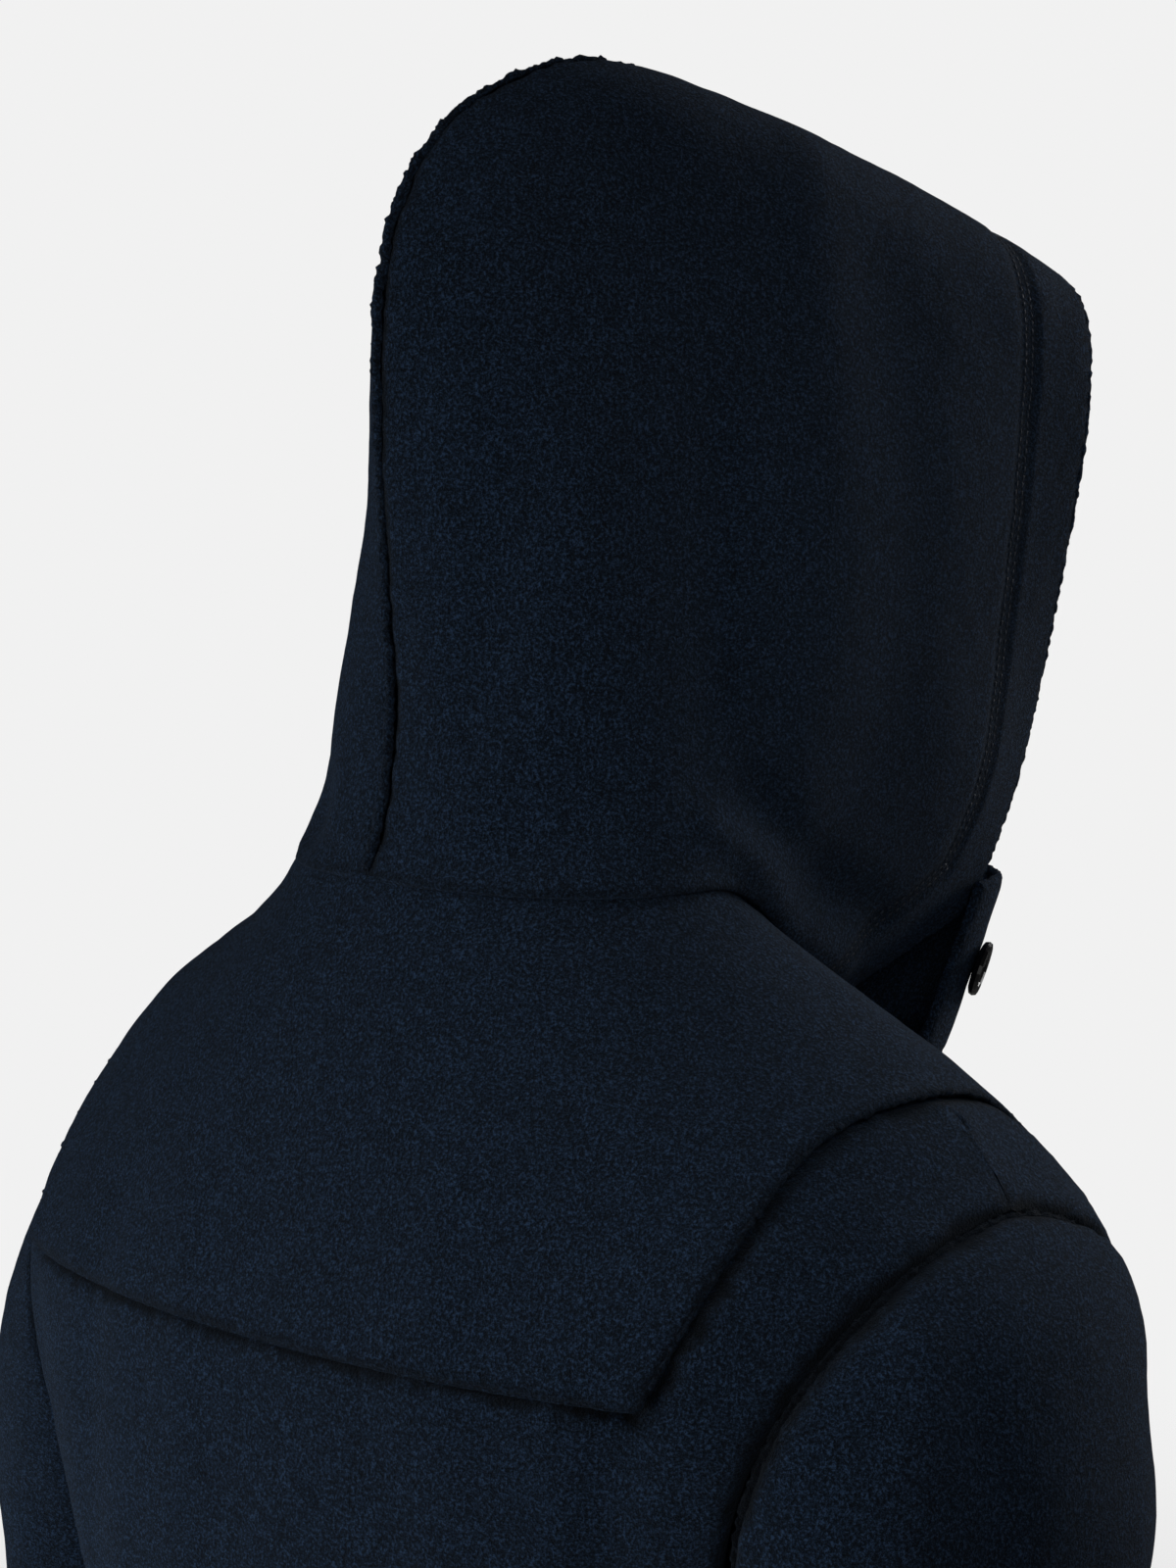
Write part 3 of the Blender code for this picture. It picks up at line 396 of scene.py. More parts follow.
def waxed_cord():
    """Waxed cotton cord: fine spun fibres along each strand and a dull shine."""
    return fibrous("waxed_cotton_cord", 0.0005, [(0.3, "#08090B"), (0.6, "#15171B"), (0.85, "#2B2E35")],
                   {"Detail": 3.0, "Roughness": 0.7}, {"Roughness": 0.5}, 0.6)


def sewing_thread():
    """Core-spun polyester thread, 0.7 mm thick here so that it shows: a little brighter than the wool and
    slightly silky."""
    return fibrous("polyester_sewing_thread", 0.0007, [(0.3, "#121A26"), (0.8, "#34445A")],
                   {"Detail": 1.0}, {"Roughness": 0.55})


# ---------------------------------------------------------------- cloth tools

class Coat:
    """What the operators hand on."""
    materials = {}
    solids = {}  # each node's solid, to be searched
    surfaces = {}  # the outside of each finished panel, to be searched
    edges = {}  # the lines along each panel's cut edge
    trees = {}  # the yoke's edge and the hood's foot, to be searched
    rims = {}  # what each panel's Shell.rim gives
    stitches = {}  # the lines of each panel's double row of stitches


def merged_copy(name, near=0.05 * MM, bend=math.radians(40), skew=math.radians(60)):
    """The panel's solid as a bmesh of quads where its triangles pair up, its shape unchanged."""
    bm = bmesh.new()
    bm.from_mesh(NODES[name].data)
    bmesh.ops.remove_doubles(bm, verts=bm.verts, dist=near)
    bmesh.ops.join_triangles(bm, faces=bm.faces, angle_face_threshold=bend, angle_shape_threshold=skew)
    bm.normal_update()
    return bm


def mark_sides(bm, name):
    """Marks the faces of the panel's outside and inside, and of the narrow cut edge between them."""
    def facing(face):
        middle = face.calc_center_median()
        return (middle - hollow_point(name, middle)).dot(face.normal)

    for face in bm.faces:
        face.material_index = CUT
    for mark, way in ((OUTER, 1), (INNER, -1)):
        seed = max(bm.faces, key=lambda f: f.calc_area() * math.copysign(1, facing(f) * way))
        seed.material_index = mark
        stack = [seed]
        while stack:
            for edge in stack.pop().edges:
                for other in edge.link_faces:
                    if other.material_index != mark and edge.calc_face_angle_signed(0) < CUT_EDGE_ANGLE:
                        other.material_index = mark
                        stack.append(other)


def border_loops(bm, mark):
    """The closed lines of vertices where the faces with a mark end."""
    edges = [e for e in bm.edges if sum(f.material_index == mark for f in e.link_faces) == 1]
    at = {}
    for edge in edges:
        for vert in edge.verts:
            at.setdefault(vert, []).append(edge)
    used, loops = set(), []
    for first in edges:
        if first in used:
            continue
        used.add(first)
        line = list(first.verts)
        while line[-1] is not line[0]:
            edge = next(e for e in at[line[-1]] if e not in used)
            used.add(edge)
            line.append(edge.other_vert(line[-1]))
        loops.append(line[:-1])
    return loops


def crease_cut_edges(bm):
    """Keeps the cut edge square, and its corners sharp, when the panel is smoothed."""
    crease = bm.edges.layers.float.new("crease_edge")
    corner = bm.verts.layers.float.new("crease_vert")
    for edge in bm.edges:
        if len({f.material_index for f in edge.link_faces}) == 2:
            edge[crease] = 1.0
    for mark in (OUTER, INNER):
        for loop in border_loops(bm, mark):
            for before, vert, after in zip(loop[-1:] + loop, loop, loop[1:] + loop[:1]):
                if (vert.co - before.co).angle(after.co - vert.co, 0) > CORNER_ANGLE:
                    vert[corner] = 1.0


def linked(name, data):
    """A new object of the scene."""
    obj = bpy.data.objects.new(name, data)
    bpy.context.scene.collection.objects.link(obj)
    return obj


def object_from(bm, name):
    """The bmesh as an object. The bmesh is freed."""
    mesh = bpy.data.meshes.new(name)
    bm.to_mesh(mesh)
    bm.free()
    return linked(name, mesh)


def smoothed(bm, name, levels):
    """The bmesh as an object smoothed by Subdivision Surface, its creases kept."""
    obj = object_from(bm, name)
    modifier = obj.modifiers.new("smooth", "SUBSURF")
    modifier.levels = levels
    modifier.render_levels = levels
    mesh = bpy.data.meshes.new_from_object(obj.evaluated_get(bpy.context.evaluated_depsgraph_get()))
    old = obj.data
    obj.modifiers.clear()
    obj.data = mesh
    bpy.data.meshes.remove(old)
    return obj


def finished(obj, material):
    """Gives a piece its finish, smooth shading and its place on the body."""
    obj.data.materials.clear()
    obj.data.materials.append(material)
    obj.data.polygons.foreach_set("material_index", [0] * len(obj.data.polygons))
    obj.data.polygons.foreach_set("use_smooth", [True] * len(obj.data.polygons))
    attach(obj, "root")
    return obj


def solid_surface(name):
    """A node's solid, to be searched."""
    if name not in Coat.solids:
        bm = bmesh.new()
        bm.from_mesh(NODES[name].data)
        Coat.solids[name] = BVHTree.FromBMesh(bm)
        bm.free()
    return Coat.solids[name]


def search_tree(points):
    """The points, to be searched."""
    tree = KDTree(len(points))
    for i, point in enumerate(points):
        tree.insert(point, i)
    tree.balance()
    return tree


def resampled(line, step, closed=False):
    """Points every step metres along a line."""
    points = np.array([tuple(p) for p in line])
    if closed:
        points = np.vstack([points, points[:1]])
    spans = np.linalg.norm(np.diff(points, axis=0), axis=1)
    keep = np.concatenate([[True], spans > 1e-7])
    points = points[keep]
    reach = np.concatenate([[0], np.cumsum(np.linalg.norm(np.diff(points, axis=0), axis=1))])
    count = max(int(round(reach[-1] / step)), 2)
    at = np.linspace(0, reach[-1], count + (0 if closed else 1), endpoint=not closed)
    return np.stack([np.interp(at, reach, points[:, k]) for k in range(3)], 1)


def evened(line, reach, closed=False):
    """A line whose points are drawn towards the middle of their neighbours."""
    line = np.array(line)
    for _ in range(reach):
        if closed:
            line = (np.roll(line, 1, 0) + 2 * line + np.roll(line, -1, 0)) / 4
        else:
            line[1:-1] = (line[:-2] + 2 * line[1:-1] + line[2:]) / 4
    return line


def split_at_corners(line, step=0.002, reach=5, degrees=42, apart=8):
    """A closed line cut into its sides at its corners, which are at least so many steps apart."""
    line = resampled(line, step, closed=True)
    count = len(line)
    turns = []
    for i in range(count):
        before = line[i] - line[(i - reach) % count]
        after = line[(i + reach) % count] - line[i]
        cosine = before @ after / (np.linalg.norm(before) * np.linalg.norm(after) + 1e-12)
        turns.append(math.degrees(math.acos(max(-1, min(1, cosine)))))
    corners = [i for i in range(count) if turns[i] > degrees
               and turns[i] == max(turns[(i + k) % count] for k in range(-apart, apart + 1))]
    if not corners:
        return [np.vstack([line, line[:1]])]
    ends = corners[1:] + [corners[0] + count]
    return [np.array([line[i % count] for i in range(a, b + 1)]) for a, b in zip(corners, ends)]


def line_distance(points, line):
    """The distance of each point from a line of straight stretches."""
    best = np.full(len(points), 1e9)
    for a, b in zip(line, line[1:]):
        along = b - a
        share = np.clip(((points - a) @ along) / (along @ along), 0, 1)
        best = np.minimum(best, np.linalg.norm(points - a - share[:, None] * along, axis=1))
    return best


def inset_line(surface, line, inset, step=0.004, probe=0.006, moves=7, evening=6):
    """A line that runs on a surface at a distance in from the surface's edge."""
    line = resampled(line, step)
    result = []
    for before, point, after in zip(line, line[1:], line[2:]):
        spot, normal, _, _ = surface.find_nearest(Vector(point))
        across = normal.cross(Vector(after - before)).normalized()
        if surface.find_nearest(spot + across * probe)[3] > surface.find_nearest(spot - across * probe)[3]:
            across = -across
        for _ in range(moves):
            spot, normal, _, _ = surface.find_nearest(spot + across * inset / moves)
            across = (across - normal * across.dot(normal)).normalized()
        result.append(spot)
    return evened(result, evening)


def outside_surface(bm, points):
    """The faces of a panel's outside over these points, to be searched."""
    faces = [[v.index for v in f.verts] for f in bm.faces if f.material_index == OUTER]
    return BVHTree.FromPolygons([tuple(point) for point in points], faces)


class Shell:
    """A panel while it is shaped: its points, the way each moves outward, the side it is on, its relief
    along that way, and the painted shade that darkens it in its seams and grooves."""

    def __init__(self, name, bm):
        self.name = name
        self.kind = name.split("_")[0]
        bm.verts.ensure_lookup_table()
        bm.normal_update()
        bm.verts.index_update()
        self.points = np.array([v.co for v in bm.verts])
        self.outward = np.zeros_like(self.points)
        self.sides = np.full(len(self.points), CUT)
        for i, vert in enumerate(bm.verts):
            for mark in (INNER, OUTER):
                normals = [f.normal for f in vert.link_faces if f.material_index == mark]
                if normals:
                    self.sides[i] = mark
                    self.outward[i] = sum(normals, Vector()).normalized()
        self.loops = [[v.index for v in loop] for loop in border_loops(bm, OUTER)]
        self.outer_ring = [i for loop in self.loops for i in loop]
        self.inner_ring = [v.index for loop in border_loops(bm, INNER) for v in loop]
        self.relief = np.zeros(len(self.points))
        # Painted shade of each point, 0 to 1: how far the wool is drawn towards near black.
        self.painted_shade = np.zeros(len(self.points))
        self.depths, self.widths = [], []

    def near(self, tree, reach):
        """Each outside point within reach of a line: its number, its place, how far off it is."""
        for i in np.nonzero(self.sides == OUTER)[0]:
            co = Vector(self.points[i])
            gap = tree.find(co)[2]
            if gap < reach:
                yield i, co, gap

    # Paints shade into the wool at a point, keeping the deepest shade given there.
    def paint_shade(self, i, dark):
        self.painted_shade[i] = max(self.painted_shade[i], dark)

    def stray(self, uneven):
        """Makes the cloth uneven in thickness."""
        for i, side in enumerate(self.sides):
            if side == CUT:
                continue
            co = Vector(self.points[i])
            waves = sum(noise.noise(co / length) * share for length, share in WAVES)
            if side == INNER:
                self.relief[i] = -INSIDE_UNEVENNESS * waves * uneven
            else:
                self.relief[i] = (waves + noise.noise(co / RIPPLE_LENGTH) * RIPPLE_SHARE) * uneven

    def roll_at(self, spot, others):
        """The depth and width in mm of the roll at a point of the edge, from what it is sewn to there."""
        found = [(tree.find_nearest(spot, SEAM_REACH)[3], other) for other, tree in others]
        found = [pair for pair in found if pair[0] is not None]
        if not found:
            return PLAIN_ROLL
        seam = (self.kind, min(found)[1])
        if seam in (("back", "front"), ("front", "back")) and spot.z > CLOSED_ABOVE:
            return CLOSED_ROLL
        if seam == ("hood", "ridge") and spot.z < RIDGE_FOOT_BELOW:
            return RIDGE_FOOT_ROLL
        return SEAM_ROLLS.get(seam, PLAIN_ROLL)

    def roll_edges(self):
        """Rolls the outside down into the seams, and the inside with it where the roll is deep, and paints
        shade down into each roll of the outside.
        """
        others = [(other.split("_")[0], solid_surface(other)) for other in PANELS
                  if other.split("_")[0] != self.kind]
        if self.kind == "hood":
            others.append(("ridge", solid_surface("hood_right" if self.name == "hood_left" else "hood_left")))
        for loop in self.loops:
            spots = [Vector(self.points[i]) for i in loop]
            rolls = np.array([self.roll_at(spot, others) for spot in spots])
            rolls = evened(rolls, ROLL_EVENING, closed=True) * MM
            self.depths += list(rolls[:, 0])
            self.widths += [width * (1 + ROLL_WOBBLE * noise.noise(spot / ROLL_WAVE))
                            for spot, width in zip(spots, rolls[:, 1])]
        outer, inner = search_tree(self.points[self.outer_ring]), search_tree(self.points[self.inner_ring])
        for i in np.nonzero(self.sides != CUT)[0]:
            _, near, gap = outer.find(self.points[i])
            depth, width = self.depths[near], self.widths[near]
            if self.sides[i] == INNER:
                gap = inner.find(self.points[i])[2]
            if gap >= width:
                continue
            share = (1 - gap / width) ** 2
            if self.sides[i] == INNER:
                self.relief[i] += max(0.0, depth - OWN_ROLL) * share
            else:
                self.relief[i] -= depth * share
                # Painted shade in the roll, deepest at the edge.
                self.paint_shade(i, min(1.0, depth / DARK_DEPTH) * min(1.0, DARK_REACH * share))

    def press_rows(self, rows):
        """Presses a trough under each stitched row, and paints shade into it."""
        for i, _, gap in self.near(search_tree([p for row in rows for p in resampled(row, MM)]), ROW_REACH):
            self.relief[i] -= ROW_DEPTH * (1 - (gap / ROW_REACH) ** 2)
            # Painted shade along the trough.
            self.paint_shade(i, ROW_DARK * (1 - gap / ROW_REACH))

    def meet_yoke(self, edge):
        """Swells the cloth along the yoke's edge, grooves it at the edge, and paints shade into the groove."""
        for i, co, gap in self.near(edge, YOKE_NEAR):
            if solid_surface("yoke").ray_cast(co, Vector(self.outward[i]), YOKE_ABOVE)[0] is not None:
                continue
            self.relief[i] += YOKE_SWELL * math.exp(-(gap / YOKE_SWELL_REACH) ** 2)
            below = co.z < HEM_GROOVE_BELOW and abs(co.x) < HEM_GROOVE_WITHIN
            groove = HEM_GROOVE if below else SIDE_GROOVE
            groove *= 1 + GROOVE_WOBBLE * noise.noise(co / GROOVE_WAVE)
            if gap < groove:
                self.relief[i] -= GROOVE_DEPTH * (1 - gap / groove)
                # Painted shade in the groove.
                self.paint_shade(i, min(1.0, DARK_REACH * (1 - gap / groove)))

    def meet_hood(self, foot):
        """Swells the cloth beside the hood's foot."""
        for i, _, gap in self.near(foot, math.inf):
            self.relief[i] += NECK_SWELL * math.exp(-(gap / NECK_SWELL_REACH) ** 2)

    def swell(self, away, reach, height):
        """Raises the whole cloth, most where away is 0, with a reach and height in mm."""
        rise = height * MM * np.exp(-(away / (reach * MM)) ** 2)
        self.relief += np.where(self.sides == OUTER, rise, np.where(self.sides == INNER, -rise, 0))

    def fold(self):
        """Adds the panel's soft folds and eases."""
        for width, height, line in SOFT_FOLDS.get(self.name, ()):
            self.swell(line_distance(self.points, np.array(line, float) * MM), width, height)
        for names, middle, reach, height in EASES:
            if self.name in names:
                self.swell(np.linalg.norm(self.points - np.array(middle) * MM, axis=1), reach, height)

    def moved(self, bm):
        """The points where they end up, with the cut edge drawn along between the two sides."""
        points, ring = self.points, self.outer_ring
        moved = points + self.outward * self.relief[:, None]
        outer, inner = search_tree(points[ring]), search_tree(points[self.inner_ring])
        for i in np.nonzero(self.sides == CUT)[0]:
            _, a, gap_a = outer.find(points[i])
            _, b, gap_b = inner.find(points[i])
            share = gap_a / (gap_a + gap_b)
            a, b = ring[a], self.inner_ring[b]
            moved[i] = points[i] + (moved[a] - points[a]) * (1 - share) + (moved[b] - points[b]) * share
        for i, depth in zip(ring, self.depths):
            if depth < CLOSED_DEPTH:
                cut = [f.normal for f in bm.verts[i].link_faces if f.material_index == CUT]
                moved[i] += np.array(sum(cut, Vector()).normalized()) * SEAM_CLOSING
        return moved

    def rim(self):
        """The outer edge as it would be without its rolls, the way outward, and the size of its first loop."""
        ring = self.outer_ring
        raised = (self.relief[ring] + np.array(self.depths))[:, None]
        return self.points[ring] + self.outward[ring] * raised, self.outward[ring], len(self.loops[0])


def stitched_rows(shell, surface, settings):
    """The lines of a panel's double row of stitches, if it has one."""
    if shell.kind not in STITCHED_SIDES:
        return []
    sides = [side for loop in shell.loops for side in split_at_corners(shell.points[loop])]
    side = min(sides, key=lambda line: line.mean(0)[STITCHED_SIDES[shell.kind]])
    return [inset_line(surface, side, inset * MM) for inset in settings.rows_in()]


def cloth_shell(name, settings):
    """A panel of boiled wool on its solid's form: smoothed, rolled into its seams, folded and uneven."""
    panel = PANELS[name]
    bm = merged_copy(name)
    mark_sides(bm, name)
    crease_cut_edges(bm)
    obj = smoothed(bm, name + "_wool", SMOOTHING)
    bm = bmesh.new()
    bm.from_mesh(obj.data)
    for _ in range(panel["fine"]):
        edges = [e for e in bm.edges if any(f.material_index == OUTER for f in e.link_faces)]
        bmesh.ops.subdivide_edges(bm, edges=edges, cuts=1, use_grid_fill=True)

    shell = Shell(name, bm)
    rows = stitched_rows(shell, outside_surface(bm, shell.points), settings)
    shell.stray(settings.unevenness * MM)
    shell.roll_edges()
    if rows:
        shell.press_rows(rows)
    if shell.kind in ("back", "front"):
        shell.meet_yoke(Coat.trees["yoke"])
    if shell.kind == "yoke":
        shell.meet_hood(Coat.trees["neck"])
    shell.fold()

    moved = shell.moved(bm)
    for vert, co in zip(bm.verts, moved):
        vert.co = co
    bm.normal_update()
    inner = moved[shell.inner_ring]
    across = search_tree(inner)
    Coat.edges[name] = [[(moved[i] + inner[across.find(moved[i])[1]]) / 2 for i in loop]
                        for loop in shell.loops]
    Coat.surfaces[name] = outside_surface(bm, moved)
    Coat.rims[name] = shell.rim()
    Coat.stitches[name] = rows
    bm.to_mesh(obj.data)
    bm.free()
    obj.data.set_sharp_from_angle(angle=SHARP_ANGLE)
    # Painted shade of each point, kept on the mesh for the wool to read.
    obj.data.attributes.new("painted_shade", "FLOAT", "POINT").data.foreach_set("value", shell.painted_shade)
    finished(obj, Coat.materials["wool"])
    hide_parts(name)
    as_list(panel["hung"])
    return obj


def side_kind(name, middle):
    """Which side of a panel this is, from its middle."""
    x, y, z = middle
    if name.startswith("hood"):
        return "face" if y < FACE_IN_FRONT_OF else "neck" if z < HOOD_NECK_BELOW else "ridge"
    if name.startswith("sleeve"):
        return "cuff" if z < CUFF_BELOW else "armhole"
    if name == "throat_tab":
        return "tab"
    if name == "yoke":
        return "yoke_side" if abs(x) > YOKE_SIDE_BEYOND else "yoke_hem" if z < YOKE_HEM_BELOW else "neck"
    if z < HEM_BELOW:
        return "hem"
    return "opening" if name.startswith("front") and abs(x) < OPENING_WITHIN and z < OPENING_BELOW else "seam"


def ridge_line(name, toward, beside, above, step=0.002):
    """The line of a raised seam allowance: beside the panel's ridge, above its cloth."""
    spots, outward, count = Coat.rims[name]
    tree = search_tree(spots)
    sides = [side for side in split_at_corners(spots[:count]) if side_kind(name, side.mean(0)) == "ridge"]
    line = evened(resampled(max(sides, key=lambda side: side.mean(0)[2]), step), 6)
    result = []
    for before, spot, after in zip(line, line[1:], line[2:]):
        normal = Vector(outward[tree.find(spot)[1]])
        across = normal.cross(Vector(after - before)).normalized()
        if across.dot(toward) < 0:
            across = -across
        result.append(Vector(spot) + across * beside + normal * above)
    return evened(result, 4)


def mesh_of(curve):
    """The curve's surface as a mesh, in an object of the same name."""
    name = curve.name
    carrier = linked(name, curve)
    mesh = bpy.data.meshes.new_from_object(carrier.evaluated_get(bpy.context.evaluated_depsgraph_get()))
    bpy.data.objects.remove(carrier)
    return linked(name, mesh)


def tube_curve(name, radius, resolution):
    """An empty curve that is a closed tube."""
    curve = bpy.data.curves.new(name, "CURVE")
    curve.dimensions = "3D"
    curve.bevel_depth = radius
    curve.bevel_resolution = resolution
    curve.use_fill_caps = True
    return curve


def raw_edge(name, lines, radius, bump, grain, dark):
    """A raw looped edge: a soft tube along each line, its thickness broken into curls, with painted shade over
    the whole tube as much as dark gives.
    """
    curve = tube_curve(name, radius, 2)
    for line in lines:
        closed = bool(np.linalg.norm(np.array(line[0]) - np.array(line[-1])) < 0.5 * MM)
        points = resampled(evened(resampled(line, 0.002), 2), RAW_EDGE_STEP)
        if closed:
            points = points[:-1]
        spline = curve.splines.new("POLY")
        spline.points.add(len(points) - 1)
        for point, co in zip(spline.points, points):
            point.co = (*co, 1)
        spline.use_cyclic_u = closed
    obj = mesh_of(curve)
    mesh = obj.data
    for vert in mesh.vertices:
        co = vert.co.copy()
        swell = noise.noise(co / grain) + 0.6 * noise.noise(co / (grain * 0.45) + Vector((3, 1, 4)))
        vert.co = co + vert.normal * swell * bump
    mesh.update()
    # Painted shade over the whole tube, for the shadow of the groove the raw edge lies in.
    mesh.attributes.new("painted_shade", "FLOAT", "POINT").data.foreach_set("value", [dark] * len(mesh.vertices))
    return finished(obj, Coat.materials["wool"])


def stitch_rows(name, rows, surface, pitch=0.0036, length=0.0026, thick=0.0007, lift=0.0001):
    """Stitches along rows on a surface, each a small grain of thread."""
    bm = bmesh.new()
    for row in rows:
        even = resampled(row, pitch)
        for before, after in zip(even, even[1:]):
            spot, normal, _, _ = surface.find_nearest(Vector((before + after) / 2))
            along = Vector(after - before).normalized()
            across = normal.cross(along).normalized()
            turn = Matrix((along, across, along.cross(across))).transposed().to_4x4()
            turn.translation = spot + normal * lift
            size = Matrix.Diagonal((length / 2, thick / 2, thick / 2, 1))
            bmesh.ops.create_uvsphere(bm, u_segments=6, v_segments=4, radius=1, matrix=turn @ size)
    return finished(object_from(bm, name), Coat.materials["thread"])


def cord_path(name):
    """The middle line of a cord's solid, from the rings of its tube."""
    bm = merged_copy(name)
    bmesh.ops.triangulate(bm, faces=bm.faces)
    side = 1 if "left" in name else -1
    end = max(v.co.x * side for v in bm.verts)
    cap = [v for v in bm.verts if v.co.x * side > end - 0.0006]
    ring, stack = [], [cap[0]]
    while stack:
        vert = stack.pop()
        if vert in cap and vert not in ring:
            ring.append(vert)
            stack += [edge.other_vert(vert) for edge in vert.link_edges]
    path, seen = [], set()
    while ring:
        path.append(tuple(sum((v.co for v in ring), Vector()) / len(ring)))
        seen.update(ring)
        following = []
        for vert in ring:
            for edge in vert.link_edges:
                other = edge.other_vert(vert)
                if other not in seen and other not in following:
                    following.append(other)
        ring = following
    bm.free()
    return path


def twisted_cord(name):
    """Three waxed strands laid round each other along a loop's solid."""
    line = evened(resampled(evened(resampled(cord_path(name), 0.002), 3), CORD_STEP), 2)
    curve = tube_curve(name + "_cord", CORD_STRAND, 1)
    strands = [curve.splines.new("POLY") for _ in range(3)]
    for spline in strands:
        spline.points.add(len(line) - 1)
    side = Vector((0, 0, 1))
    for i, spot in enumerate(line):
        along = Vector(line[min(i + 1, len(line) - 1)] - line[max(i - 1, 0)]).normalized()
        side = (side - along * side.dot(along)).normalized()
        other = along.cross(side)
        for k, spline in enumerate(strands):
            turn = math.tau * (i * CORD_STEP / CORD_LAY + k / 3)
            place = Vector(spot) + (side * math.cos(turn) + other * math.sin(turn)) * CORD_STRAND * 0.95
            spline.points[i].co = (*place, 1)
    obj = finished(mesh_of(curve), Coat.materials["cord"])
    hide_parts(name)
    return obj


def patch_stitches(name, inset=0.0028):
    """A row of stitches round a leather patch, in from its edge."""
    bm = merged_copy(name)
    for face in bm.faces:
        face.material_index = OUTER if face.normal.y < PATCH_FRONT else CUT
    loop = max(border_loops(bm, OUTER), key=len)
    line = resampled([v.co for v in loop], MM, closed=True)
    middle = line.mean(0)
    reach = np.linalg.norm(line - middle, axis=1)[:, None]
    line = middle + (line - middle) * (1 - inset / reach)
    surface = outside_surface(bm, [v.co for v in bm.verts])
    bm.free()
    row = np.vstack([line, line[:1]])
    return stitch_rows("stitches_" + name, [row], surface, pitch=0.0030, length=0.0021, thick=0.0006)


# ---------------------------------------------------------------- settings

class CoatClothSettings(bpy.types.PropertyGroup):
    nap: FloatProperty(
        name="Nap", description="Width of one curl of the felted yarn", default=0.0009, unit="LENGTH")
    relief: FloatProperty(
        name="Relief", description="Height of the nap's grain", default=0.0024, unit="LENGTH")
    sheen: FloatProperty(
        name="Sheen", description="How much the nap shines against the light", default=0.14,
        subtype="FACTOR", min=0, max=1)
    unevenness: FloatProperty(
        name="Unevenness", description="How far the cloth strays from an even thickness, in mm", default=0.55,
        subtype="FACTOR", min=0, max=2)
    row_inset: FloatProperty(
        name="Stitched hem", description="How far in from an edge its stitches run, in mm", default=36.0)
    row_gap: FloatProperty(
        name="Between rows", description="Distance between a hem's two rows, in mm", default=4.0)

    def rows_in(self):
        """How far in from the edge each of the two rows runs, in mm."""
        return self.row_inset, self.row_inset + self.row_gap


class CoatStudioSettings(bpy.types.PropertyGroup):
    background: FloatVectorProperty(
        name="Background", description="Colour of the surround", default=linear("#F1F1F1")[:3],
        subtype="COLOR", size=3, min=0, max=1)
    surround: FloatProperty(
        name="Surround light", description="How much light the surround gives", default=0.035, min=0, max=2)
    floor_height: FloatProperty(
        name="Floor", description="Height of the floor below the nape", default=-0.98, unit="LENGTH")
    azimuth: FloatProperty(
        name="Azimuth", description="Camera's bearing round the coat, 0 from the front",
        default=math.radians(224), subtype="ANGLE")
    elevation: FloatProperty(
        name="Elevation", description="Camera's height above the level", default=math.radians(8),
        subtype="ANGLE")
    distance: FloatProperty(
        name="Distance", description="Camera's distance from what it looks at", default=1.5, unit="LENGTH")
    lens: FloatProperty(
        name="Lens", description="Focal length on a 36 mm frame", default=87.75, unit="CAMERA")


# ---------------------------------------------------------------- operators

def placed(name, data, place, target):
    """A camera or lamp in its place, turned to its target."""
    obj = linked(name, data)
    obj.location = place
    obj.rotation_mode = "QUATERNION"
    obj.rotation_quaternion = (Vector(target) - Vector(place)).to_track_quat("-Z", "Y")
    return obj


